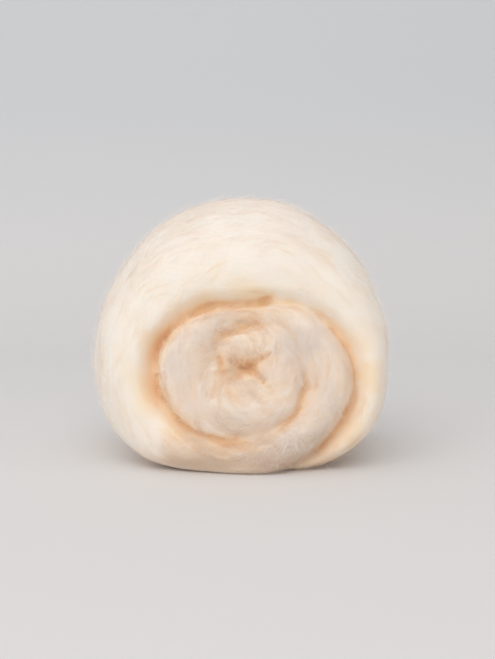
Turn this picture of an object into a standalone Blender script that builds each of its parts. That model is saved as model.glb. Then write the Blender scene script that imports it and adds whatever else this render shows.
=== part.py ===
"""Roll of wool roving: one thick, soft band of combed wool, wound on itself and lying on its side.

Metres, +Z up. The origin is at the bottom centre of the roll's box, the roll's axis runs along Y, and the
face that shows the spiral of the band's edge looks towards -Y. The band is one solid: a loft of sections
that stand in planes through the winding axis, from the pinched start at the centre out to the tail, which
ends in a wedge between the roll and the surface that it lies on.
"""

from typing import NamedTuple

import bpy
import numpy as np

ROLL_NAME = "roving_roll"

# The outline of the roll's fullest section: a round crown over a squarer belly, cut off by the surface.
HALF_WIDTH = 0.0560
CROWN_RISE = 0.0613
CROWN_POWER = 2.0
BELLY_DROP = 0.0445
BELLY_POWER = 2.2
OUTLINE_HEIGHT = 0.0385

# How far the outline's middle line strays to the right, for each metre above or below its widest level.
LEAN = 0.035

# The rounding of the belly into the base aims at a level this far below the surface.
EDGE_SINK = 0.0012
EDGE_POWER = 14.0

# The winding axis, across and up from the outline's own centre.
AXIS_ACROSS = 0.0023
AXIS_UP = 0.0003

DEPTH = 0.0880
TURN_GAP = 0.0005

# The share of the band's thickness that is left flat at its edges, between the two roundings.
FLAT_SHARE = 0.02
STATION_STEP_DEG = 7.5
ARC_STEPS = 5
OUTLINE_STEPS = 40
WOOL_COLOUR = (0.871, 0.776, 0.686, 1.0)


class Station(NamedTuple):
    """The band's section at one place along the winding.

    turn_deg: the winding angle, clockwise seen from the front, 0 to the right and 90 down on the last turn.
    inner: the band's inner radius there. Its outer radius is the next turn's inner one, less the gap.
    front, back: how far the band's two edges lie behind the roll's foremost point.
    lip: how far in from each edge the rounding of the band's inner corners reaches.
    shoulder: how far in from each edge the rounding of the band's outer corners reaches.
    lip_share: the share of the band's thickness that the inner rounding takes.
    """

    turn_deg: float
    inner: float
    front: float
    back: float
    lip: float
    shoulder: float
    lip_share: float


WINDING = (
    Station(-945, 0.0008, 0.0030, 0.0800, 0.002, 0.004, 0.50),
    Station(-900, 0.0008, 0.0030, 0.0800, 0.003, 0.004, 0.50),
    Station(-855, 0.0008, 0.0050, 0.0805, 0.004, 0.005, 0.50),
    Station(-810, 0.0008, 0.0060, 0.0810, 0.005, 0.005, 0.50),
    Station(-765, 0.0008, 0.0045, 0.0815, 0.006, 0.006, 0.50),
    Station(-720, 0.0009, 0.0022, 0.0820, 0.007, 0.007, 0.50),
    Station(-675, 0.0013, 0.0006, 0.0825, 0.007, 0.006, 0.50),
    Station(-630, 0.0026, 0.0000, 0.0825, 0.006, 0.004, 0.50),
    Station(-585, 0.0055, 0.0002, 0.0825, 0.006, 0.005, 0.45),
    Station(-540, 0.0095, 0.0018, 0.0825, 0.006, 0.006, 0.50),
    Station(-495, 0.0122, 0.0055, 0.0825, 0.006, 0.006, 0.50),
    Station(-450, 0.0138, 0.0085, 0.0830, 0.005, 0.005, 0.50),
    Station(-405, 0.0176, 0.0065, 0.0835, 0.006, 0.007, 0.50),
    Station(-360, 0.0212, 0.0032, 0.0840, 0.008, 0.009, 0.70),
    Station(-315, 0.0252, 0.0010, 0.0845, 0.006, 0.009, 0.35),
    Station(-270, 0.0262, 0.0002, 0.0850, 0.003, 0.003, 0.20),
    Station(-225, 0.0294, 0.0030, 0.0860, 0.008, 0.013, 0.30),
    Station(-180, 0.0318, 0.0078, 0.0870, 0.012, 0.028, 0.32),
    Station(-135, 0.0253, 0.0074, 0.0875, 0.010, 0.033, 0.26),
    Station(-90, 0.0215, 0.0064, 0.0880, 0.008, 0.036, 0.20),
    Station(-45, 0.0294, 0.0078, 0.0880, 0.008, 0.030, 0.25),
    Station(-22, 0.0338, 0.0084, 0.0880, 0.010, 0.022, 0.35),
    Station(0, 0.0384, 0.0076, 0.0880, 0.010, 0.015, 0.50),
    Station(45, 0.0396, 0.0066, 0.0875, 0.009, 0.009, 0.50),
    Station(78, 0.0389, 0.0070, 0.0870, 0.004, 0.006, 0.50),
)


def clear_scene():
    """Removes whatever the file opened with."""
    for old in list(bpy.data.objects):
        bpy.data.objects.remove(old, do_unlink=True)


def smooth_through(at, known_at, known):
    """A smooth curve through known values: cubic pieces whose slope at each value is its neighbours'."""
    known_at, known = np.asarray(known_at, float), np.asarray(known, float)
    slope = np.gradient(known, known_at)
    piece = np.clip(np.searchsorted(known_at, at, side="right") - 1, 0, len(known) - 2)
    span = known_at[piece + 1] - known_at[piece]
    t = (at - known_at[piece]) / span
    start, end = known[piece], known[piece + 1]
    return (
        start * (1 + 2 * t) * (1 - t) ** 2
        + slope[piece] * span * t * (1 - t) ** 2
        + end * t**2 * (3 - 2 * t)
        + slope[piece + 1] * span * t**2 * (t - 1)
    )


def column(name, turn_deg):
    """One column of the winding table, smoothed between its rows."""
    return smooth_through(
        turn_deg, [row.turn_deg for row in WINDING], [getattr(row, name) for row in WINDING]
    )


def fullness(x, z, rise, power):
    """One on a superellipse as wide as the roll and of this rise, and growing in step with the distance."""
    return (np.abs(x / HALF_WIDTH) ** power + np.abs(z / rise) ** power) ** (1 / power)


def outline_radius(turn_deg):
    """How far the roll's fullest outline lies from the winding axis, in each direction.

    The curve is the crown's or the belly's, rounded off towards a plane a little below the surface and
    then cut at the surface itself, so that the base is flat. The curves are about the outline's centre and
    not the axis, so the distance is found by stepping along the direction until it settles.
    """
    angle = np.radians(turn_deg)
    across, up = np.cos(angle), -np.sin(angle)
    radius = np.full(len(turn_deg), HALF_WIDTH)
    for _ in range(OUTLINE_STEPS):
        z = AXIS_UP + radius * up
        x = AXIS_ACROSS + radius * across - LEAN * np.abs(z)
        crown = fullness(x, z, CROWN_RISE, CROWN_POWER)
        belly = fullness(x, z, BELLY_DROP, BELLY_POWER)
        radius = radius / np.where(z > 0, crown, belly)
    axis_height = OUTLINE_HEIGHT + AXIS_UP
    down = np.maximum(-up, 1e-6)
    sunk = (axis_height + EDGE_SINK) / down
    rounded = (radius**-EDGE_POWER + sunk**-EDGE_POWER) ** (-1 / EDGE_POWER)
    return np.minimum(rounded, axis_height / down)


def corner(centre, reach, start_deg):
    """A quarter of an ellipse, as (radius, depth) points, turning anticlockwise from start_deg."""
    angle = np.radians(start_deg + np.linspace(0, 90, ARC_STEPS))
    return np.stack([centre[0] + reach[0] * np.cos(angle), centre[1] + reach[1] * np.sin(angle)], axis=1)


def section(inner, outer, front, back, lip, shoulder, lip_share):
    """The band's section as (radius, depth) points: a long box with four unlike rounded corners."""
    near = lip_share * (outer - inner)
    far = (1 - FLAT_SHARE - lip_share) * (outer - inner)
    return np.concatenate(
        [
            corner((inner + near, front + lip), (near, lip), 180),
            corner((outer - far, front + shoulder), (far, shoulder), 270),
            corner((outer - far, back - shoulder), (far, shoulder), 0),
            corner((inner + near, back - lip), (near, lip), 90),
        ]
    )


def band_points():
    """The loft's points: one ring of section points for each station along the winding."""
    first, last = WINDING[0].turn_deg, WINDING[-1].turn_deg
    turns = np.append(np.arange(first, last, STATION_STEP_DEG), last)
    inner = column("inner", turns)
    one_turn_on = np.minimum(turns + 360, last)
    covered = column("inner", one_turn_on) - TURN_GAP
    outer = np.where(turns + 360 <= last, covered, outline_radius(turns))
    sizes = np.stack([column(name, turns) for name in ("front", "back", "lip", "shoulder", "lip_share")], 1)
    rings = []
    for turn_deg, low, high, row in zip(turns, inner, outer, sizes, strict=True):
        radius, depth = section(low, high, *row).T
        angle = np.radians(turn_deg)
        x = AXIS_ACROSS + radius * np.cos(angle)
        z = OUTLINE_HEIGHT + AXIS_UP - radius * np.sin(angle)
        rings.append(np.stack([x, depth - DEPTH / 2, z], axis=1))
    return np.array(rings)


def loft(rings):
    """Vertices and faces of a closed tube through rings of equal count, with a flat face at each end."""
    count, around = rings.shape[:2]
    index = np.arange(count * around).reshape(count, around)
    along, round_it = index[:-1], np.roll(index, -1, axis=1)[:-1]
    ahead, ahead_round = index[1:], np.roll(index, -1, axis=1)[1:]
    sides = np.stack([along, ahead, ahead_round, round_it], axis=-1).reshape(-1, 4)
    faces = [*sides.tolist(), index[0].tolist(), index[-1][::-1].tolist()]
    return rings.reshape(-1, 3), faces


def wool_material():
    """Undyed cream wool: matt, with no shine of its own."""
    material = bpy.data.materials.new("cream_wool")
    material.use_nodes = True
    shader = material.node_tree.nodes["Principled BSDF"]
    shader.inputs["Base Color"].default_value = WOOL_COLOUR
    shader.inputs["Roughness"].default_value = 0.95
    shader.inputs["Metallic"].default_value = 0.0
    return material


def build_roll():
    """The wound band, as one smooth-shaded object in its own collection."""
    points, faces = loft(band_points())
    mesh = bpy.data.meshes.new(ROLL_NAME)
    mesh.from_pydata(points.tolist(), [], faces)
    mesh.materials.append(wool_material())
    mesh.shade_smooth()
    mesh.set_sharp_from_angle(angle=np.radians(40))
    mesh.validate()
    roll = bpy.data.objects.new(ROLL_NAME, mesh)
    collection = bpy.data.collections.new("wool_roving_roll")
    bpy.context.scene.collection.children.link(collection)
    collection.objects.link(roll)
    return roll


clear_scene()
build_roll()
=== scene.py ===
"""Wool roving wound into a roll: the looks of the part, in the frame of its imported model.

One thick, soft band of combed wool is wound on itself and lies on its side. The roll's skin is worked out
from the band's winding, made one closed surface, and given the folds, locks and streaks of combed wool.
Loose fibres then lie along it, arch over it and stand off it, each a thin ribbon.

Metres, +Z up. The roll's axis runs along Y and the face that shows the spiral looks towards -Y.
"""

import logging
from dataclasses import dataclass
from enum import Enum
from typing import NamedTuple

import bpy
import numpy as np
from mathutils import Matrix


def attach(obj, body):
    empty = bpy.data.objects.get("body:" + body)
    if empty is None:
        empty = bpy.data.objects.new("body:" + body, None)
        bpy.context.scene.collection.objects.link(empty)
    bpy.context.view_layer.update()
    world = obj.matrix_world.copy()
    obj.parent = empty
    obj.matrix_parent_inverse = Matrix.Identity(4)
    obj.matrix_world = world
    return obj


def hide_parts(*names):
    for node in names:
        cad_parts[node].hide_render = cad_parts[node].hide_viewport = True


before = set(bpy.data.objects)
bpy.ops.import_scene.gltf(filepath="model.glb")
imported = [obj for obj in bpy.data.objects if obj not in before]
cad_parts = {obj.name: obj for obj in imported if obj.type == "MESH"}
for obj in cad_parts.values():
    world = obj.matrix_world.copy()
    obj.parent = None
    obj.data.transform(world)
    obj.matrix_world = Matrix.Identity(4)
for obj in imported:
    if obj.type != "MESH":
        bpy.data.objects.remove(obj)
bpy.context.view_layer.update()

BODY = "root"
CAD_NODE = "roving_roll"
SKIN_NAME = "wound_roving"
LOG = logging.getLogger("roving")

FULL_TURN_DEG = 360
HALF_TURN_DEG = 180
LEAST_LENGTH = 1e-12
LEAST_SHARE = 1e-6
# A bell curve's reach for each unit of its standard deviation.
SPREAD_REACH = 2**0.5

Array = np.ndarray
Colour = tuple[float, float, float]
Place = tuple[float, float, float]
Span = tuple[float, float]


# ------------------------------------------------------------------------------------------ sums on arrays


def unit(vectors: Array) -> Array:
    """Each vector made one long."""
    return vectors / np.maximum(np.linalg.norm(vectors, axis=-1, keepdims=True), LEAST_LENGTH)


def dot(a: Array, b: Array) -> Array:
    """Each pair's dot product, kept as a column."""
    return np.sum(a * b, axis=-1, keepdims=True)


def ease(low: float, high: float, values: Array) -> Array:
    """Rises smoothly from 0 at low to 1 at high, and stays there. With low above high it falls."""
    share = np.clip((values - low) / (high - low), 0.0, 1.0)
    return share * share * (3.0 - 2.0 * share)


def raised(floor: float, share: Array) -> Array:
    """From the floor where the share is 0 up to 1 where it is 1."""
    return floor + (1 - floor) * share


def bell(values: Array, reach: float | Array, power: int = 2) -> Array:
    """A bell curve: 1 at nought, and e times less at the reach. A higher even power has a flatter top."""
    return np.exp(-((values / reach) ** power))


def turned(level: Array, normals: Array, angle: Array) -> Array:
    """Directions turned anticlockwise about their normals, each by its angle in a column."""
    return np.cos(angle) * level + np.sin(angle) * np.cross(normals, level)


def smooth_through(at: Array, known_at: Array, known: Array) -> Array:
    """A smooth curve through known values, read at other places.

    Each stretch between two known values is a cubic whose slope at either end is the neighbours' slope.

    Args:
        at: where the curve is read.
        known_at: where it is known, rising.
        known: its values there, one column for each curve or a single row of them.

    Returns:
        The values at the places asked for.
    """
    slope = np.gradient(known, known_at, axis=0)
    piece = np.clip(np.searchsorted(known_at, at, side="right") - 1, 0, len(known) - 2)
    span = known_at[piece + 1] - known_at[piece]
    share = (at - known_at[piece]) / span
    if known.ndim > 1:
        span, share = span[:, None], share[:, None]
    left = 1 - share
    start = known[piece] * (1 + 2 * share) * left**2 + slope[piece] * span * share * left**2
    end = known[piece + 1] * share**2 * (3 - 2 * share) + slope[piece + 1] * span * share**2 * (share - 1)
    return start + end


@dataclass(frozen=True)
class SpaceNoise:
    """Smooth hills and hollows that fill space, about one to a cubic cell, from about -1 to 1.

    seed: which noise it is.
    cell: how long a cell's sides are.
    size: how many random slopes there are to pick from.
    gain: what brings the values to about -1 and 1.
    """

    seed: int
    cell: float
    size: int = 256
    gain: float = 1.7

    def at(self, points: Array) -> Array:
        """The values at points.

        Every corner of the lattice of cells has a random slope. The value at a point is the sum of the
        eight corners' slopes times the steps from them, each weighed by a curve that is flat at either end.

        Args:
            points: the points, one row each.

        Returns:
            A value for each point.
        """
        rng = np.random.default_rng(self.seed)
        order = rng.permutation(self.size)
        slopes = unit(rng.normal(size=(self.size, 3)))
        scaled = points / self.cell
        cell = np.floor(scaled).astype(int)
        inside = scaled - cell
        fade = inside**3 * (inside * (inside * 6 - 15) + 10)
        total = np.zeros(len(points))
        for corner in np.ndindex(2, 2, 2):
            x, y, z = ((cell + corner) % self.size).T
            pick = order[(order[(order[x] + y) % self.size] + z) % self.size]
            weight = np.prod(np.where(corner, fade, 1 - fade), axis=1)
            total += weight * np.sum(slopes[pick] * (inside - corner), axis=1)
        return self.gain * total


# ------------------------------------------------------------------------------------- the wound band


class Station(NamedTuple):
    """The band's section at one place along its winding.

    turn_deg: the winding angle, clockwise seen from the front, 0 to the right and 90 down on the last turn.
    inner: the band's inner radius there. Its outer radius is the next turn's inner one.
    front, back: how far the band's two edges lie behind the roll's foremost point.
    lip: how far in from each edge the rounding of the band's inner corners reaches.
    shoulder: how far in from each edge the rounding of the band's outer corners reaches.
    lip_share: the share of the band's thickness that the inner rounding takes.
    """

    turn_deg: float
    inner: float
    front: float
    back: float
    lip: float
    shoulder: float
    lip_share: float


WINDING = (
    Station(-945, -0.0030, 0.0030, 0.0800, 0.002, 0.0040, 0.50),
    Station(-900, -0.0030, 0.0030, 0.0800, 0.003, 0.0040, 0.50),
    Station(-855, -0.0030, 0.0050, 0.0805, 0.004, 0.0050, 0.50),
    Station(-810, -0.0030, 0.0060, 0.0810, 0.005, 0.0050, 0.50),
    Station(-765, -0.0030, 0.0045, 0.0815, 0.006, 0.0060, 0.50),
    Station(-720, -0.0020, 0.0022, 0.0820, 0.007, 0.0070, 0.50),
    Station(-675, 0.0004, 0.0006, 0.0825, 0.007, 0.0060, 0.50),
    Station(-630, 0.0026, 0.0000, 0.0825, 0.006, 0.0038, 0.50),
    Station(-585, 0.0055, 0.0002, 0.0825, 0.006, 0.0050, 0.45),
    Station(-540, 0.0095, 0.0018, 0.0825, 0.006, 0.0060, 0.50),
    Station(-495, 0.0122, 0.0055, 0.0825, 0.006, 0.0060, 0.50),
    Station(-450, 0.0138, 0.0085, 0.0830, 0.005, 0.0050, 0.50),
    Station(-405, 0.0176, 0.0065, 0.0835, 0.006, 0.0070, 0.50),
    Station(-360, 0.0212, 0.0032, 0.0840, 0.008, 0.0090, 0.70),
    Station(-315, 0.0252, 0.0008, 0.0845, 0.006, 0.0090, 0.35),
    Station(-270, 0.0262, -0.0010, 0.0850, 0.002, 0.0028, 0.15),
    Station(-225, 0.0294, 0.0030, 0.0860, 0.008, 0.0130, 0.30),
    Station(-180, 0.0318, 0.0078, 0.0870, 0.012, 0.0280, 0.32),
    Station(-135, 0.0253, 0.0074, 0.0875, 0.010, 0.0330, 0.26),
    Station(-90, 0.0215, 0.0064, 0.0880, 0.008, 0.0360, 0.20),
    Station(-45, 0.0294, 0.0078, 0.0880, 0.008, 0.0300, 0.25),
    Station(-22, 0.0338, 0.0084, 0.0880, 0.010, 0.0220, 0.35),
    Station(0, 0.0384, 0.0076, 0.0880, 0.010, 0.0150, 0.50),
    Station(45, 0.0396, 0.0066, 0.0875, 0.009, 0.0090, 0.50),
    Station(78, 0.0389, 0.0070, 0.0870, 0.004, 0.0060, 0.50),
)


@dataclass(frozen=True)
class Outline:
    """The roll's fullest section: a round crown over a squarer belly, cut off flat by the surface below.

    crown_*, belly_*: how far it reaches up and down from its widest level, and how square it is there.
    height: how high its widest level lies.
    lean: how far its middle line strays to the right, for each metre above or below its widest level.
    edge_sink, edge_power: the belly is rounded off towards a plane that far below the surface.
    axis_across, axis_up: where the winding axis lies from the outline's own centre.
    settle_steps: how often the search for the outline is repeated.
    """

    half_width: float = 0.0560
    crown_rise: float = 0.0613
    crown_power: float = 2.0
    belly_drop: float = 0.0445
    belly_power: float = 2.2
    height: float = 0.0385
    lean: float = 0.035
    edge_sink: float = 0.0012
    edge_power: float = 14.0
    axis_across: float = 0.0023
    axis_up: float = 0.0003
    settle_steps: int = 40

    @property
    def axis_height(self) -> float:
        """How high the winding axis lies above the surface."""
        return self.height + self.axis_up

    def fullness(self, x: Array, z: Array, rise: float, power: float) -> Array:
        """One on a superellipse as wide as the roll and of this rise, growing in step with the distance."""
        return (np.abs(x / self.half_width) ** power + np.abs(z / rise) ** power) ** (1 / power)

    def radius(self, turn_deg: Array) -> Array:
        """How far the outline lies from the winding axis in each direction.

        The curve is the crown's or the belly's, rounded off towards a plane a little below the surface and
        then cut at the surface itself. The curves are about the outline's centre and not the axis, so the
        distance is found by stepping along the direction until it settles.

        Args:
            turn_deg: the directions, as winding angles.

        Returns:
            The distances.
        """
        angle = np.radians(turn_deg)
        across, up = np.cos(angle), -np.sin(angle)
        radius = np.full(len(turn_deg), self.half_width)
        for _ in range(self.settle_steps):
            z = self.axis_up + radius * up
            x = self.axis_across + radius * across - self.lean * np.abs(z)
            crown = self.fullness(x, z, self.crown_rise, self.crown_power)
            belly = self.fullness(x, z, self.belly_drop, self.belly_power)
            radius = radius / np.where(z > 0, crown, belly)
        down = np.maximum(-up, LEAST_SHARE)
        sunk = (self.axis_height + self.edge_sink) / down
        rounded = (radius**-self.edge_power + sunk**-self.edge_power) ** (-1 / self.edge_power)
        return np.minimum(rounded, self.axis_height / down)


@dataclass(frozen=True)
class Winding:
    """The band as it is wound: its radii, its sections and its surface.

    depth: how deep the roll is, from face to face.
    overlap: how far each turn reaches into the next, so that the turns make one body.
    step_deg: the winding angle between two sections.
    corner_steps: how many points a section's rounded corner has.
    flat_share: the share of the band's thickness that its edges' roundings leave flat.
    rear_shoulder: how far in from the back edge the outer rounding reaches at the least.
    open_power, round_power: the powers of the inner and the outer roundings' superellipses.
    """

    outline: Outline
    depth: float = 0.0880
    overlap: float = 0.0005
    step_deg: float = 2.0
    corner_steps: int = 12
    flat_share: float = 0.02
    rear_shoulder: float = 0.0150
    open_power: float = 1.35
    round_power: float = 2.0

    @property
    def first(self) -> float:
        """The winding angle at the pinched start."""
        return float(WINDING[0].turn_deg)

    @property
    def last(self) -> float:
        """The winding angle at the tail."""
        return float(WINDING[-1].turn_deg)

    def column(self, name: str, turn_deg: Array) -> Array:
        """One column of the winding table, smoothed between its rows.

        Args:
            name: the column.
            turn_deg: the winding angles at which it is read.

        Returns:
            Its value at each.
        """
        known_at = np.array([row.turn_deg for row in WINDING], float)
        known = np.array([getattr(row, name) for row in WINDING], float)
        return smooth_through(turn_deg, known_at, known)

    def inner(self, turn_deg: Array) -> Array:
        """The band's inner radius."""
        return self.column("inner", turn_deg)

    def outer(self, turn_deg: Array) -> Array:
        """The band's outer radius: the next turn's inner one, or the outline on the last turn."""
        covered = self.inner(np.minimum(turn_deg + FULL_TURN_DEG, self.last))
        return np.where(turn_deg + FULL_TURN_DEG <= self.last, covered, self.outline.radius(turn_deg))

    def corner(
        self, reach_in: Array, reach_back: Array, power: float, start_deg: float
    ) -> tuple[Array, Array]:
        """A rounded corner from each section's own reaches, a quarter of a superellipse.

        Args:
            reach_in: how far the corner reaches along the band's thickness, one for each section.
            reach_back: how far it reaches along its width.
            power: 2 for an ellipse, less for a flatter corner.
            start_deg: where the quarter starts, anticlockwise.

        Returns:
            Steps from the corner's centre along the thickness and the width, one row for each section.
        """
        angle = np.radians(start_deg + np.linspace(0, 90, self.corner_steps))
        across = np.sign(np.cos(angle)) * np.abs(np.cos(angle)) ** (2 / power)
        along = np.sign(np.sin(angle)) * np.abs(np.sin(angle)) ** (2 / power)
        return reach_in[:, None] * across, reach_back[:, None] * along

    def rings(self) -> Array:
        """The band's surface as a ring of section points for each step of the winding.

        A section is a long box with four rounded corners: inner front, outer front, outer back, inner back.
        Its radius and depth are turned about the axis by the winding angle.

        Returns:
            The points, as (steps, points round a section, 3).
        """
        turns = np.append(np.arange(self.first, self.last, self.step_deg), self.last)
        inner = self.inner(turns)
        outer = self.outer(turns) + np.where(turns + FULL_TURN_DEG <= self.last, self.overlap, 0.0)
        front, back, lip, shoulder, share = (
            self.column(name, turns) for name in ("front", "back", "lip", "shoulder", "lip_share")
        )
        near, far = share * (outer - inner), (1 - self.flat_share - share) * (outer - inner)
        rear = np.hypot(shoulder, self.rear_shoulder)
        radii, depths = [], []
        for reach_in, reach_back, power, middle, edge, start_deg in (
            (near, lip, self.open_power, inner + near, front + lip, 180.0),
            (far, shoulder, self.round_power, outer - far, front + shoulder, 270.0),
            (far, rear, self.round_power, outer - far, back - rear, 0.0),
            (near, lip, self.open_power, inner + near, back - lip, 90.0),
        ):
            across, along = self.corner(reach_in, reach_back, power, start_deg)
            radii.append(middle[:, None] + across)
            depths.append(edge[:, None] + along)
        radius, depth = np.concatenate(radii, axis=1), np.concatenate(depths, axis=1)
        angle = np.radians(turns)[:, None]
        x = self.outline.axis_across + radius * np.cos(angle)
        z = self.outline.axis_height - radius * np.sin(angle)
        return np.stack([x, depth - self.depth / 2, z], axis=-1)

    def polar(self, points: Array) -> tuple[Array, Array]:
        """Where each point lies about the winding axis.

        Args:
            points: the points.

        Returns:
            The clockwise angles in degrees, and the distances from the axis.
        """
        across = points[:, 0] - self.outline.axis_across
        up = points[:, 2] - self.outline.axis_height
        return np.degrees(np.arctan2(-up, across)), np.hypot(across, up)

    def outermost(self, angle: Array) -> Array:
        """The winding angle of the outermost turn in each direction."""
        return self.last - (self.last - angle) % FULL_TURN_DEG

    def turn_at(self, points: Array) -> Array:
        """The winding angle at each point: its own angle, less a full turn for each turn that lies outside.

        Args:
            points: the points.

        Returns:
            A winding angle for each.
        """
        angle, radius = self.polar(points)
        outermost = self.outermost(angle)
        turn = outermost
        for k in range(int(np.ceil((self.last - self.first) / FULL_TURN_DEG))):
            candidate = np.maximum(outermost - FULL_TURN_DEG * k, self.first)
            turn = np.where(radius < self.inner(candidate), outermost - FULL_TURN_DEG * (k + 1), turn)
        return np.maximum(turn, self.first)

    def length_at(self, turn_deg: Array) -> Array:
        """How much of the band's middle line is wound up to each winding angle, added up by the degree.

        Args:
            turn_deg: the winding angles.

        Returns:
            The length at each.
        """
        turns = np.arange(self.first, self.last + 1, 1.0)
        middle = (self.inner(turns) + self.outer(turns)) / 2
        lengths = np.concatenate([[0.0], np.cumsum(np.radians(1.0) * middle[1:])])
        return np.interp(turn_deg, turns, lengths)

    def along_and_across(self, points: Array, turn_deg: Array) -> Array:
        """Places on the band's surface: how far along the band, and how far across its width and edges.

        Across, a point on the outside of a turn counts by its depth. On either edge, the way that it lies
        inside the turn's outer radius is taken off in front and added behind, so that the count runs on
        round the band's corners.

        Args:
            points: the points.
            turn_deg: the winding angle at each.

        Returns:
            Two columns, along and across.
        """
        _, radius = self.polar(points)
        inside = np.maximum(self.outer(turn_deg) - radius, 0.0)
        across = points[:, 1] + np.where(points[:, 1] < 0, -inside, inside)
        return np.stack([self.length_at(turn_deg), across], axis=1)


# ------------------------------------------------------------------------------------------ meshes and skin


def new_mesh(name: str, points: Array, faces: Array) -> bpy.types.Mesh:
    """A smooth mesh of four-sided faces from whole arrays.

    Args:
        name: the mesh's name.
        points: its points, one row each.
        faces: its faces, four indices a row, anticlockwise seen from outside.

    Returns:
        The mesh.
    """
    mesh = bpy.data.meshes.new(name)
    mesh.vertices.add(len(points))
    mesh.vertices.foreach_set("co", np.ascontiguousarray(points, np.float32).ravel())
    mesh.loops.add(faces.size)
    mesh.loops.foreach_set("vertex_index", np.ascontiguousarray(faces, np.int32).ravel())
    mesh.polygons.add(len(faces))
    mesh.polygons.foreach_set("loop_start", np.arange(0, faces.size, 4, dtype=np.int32))
    mesh.update(calc_edges=True)
    mesh.shade_smooth()
    return mesh


def shown(mesh: bpy.types.Mesh) -> bpy.types.Object:
    """Puts a mesh into the scene.

    Args:
        mesh: the mesh.

    Returns:
        An object of the mesh's own name.
    """
    made = bpy.data.objects.new(mesh.name, mesh)
    bpy.context.scene.collection.objects.link(made)
    return made


def tube_faces(count: int, around: int) -> Array:
    """The faces between rings of points, and a fan of four-sided faces over each end.

    Args:
        count: how many rings there are.
        around: how many points each has, an even number.

    Returns:
        The faces, four indices a row.
    """
    index = np.arange(count * around).reshape(count, around)
    ahead = np.roll(index, -1, axis=1)
    sides = np.stack([index[:-1], index[1:], ahead[1:], ahead[:-1]], axis=-1).reshape(-1, 4)
    half = np.arange(around // 2 - 1)
    over = np.stack([half, half + 1, around - 2 - half, around - 1 - half], axis=-1)
    return np.concatenate([sides, over, over[:, ::-1] + (count - 1) * around])


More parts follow.
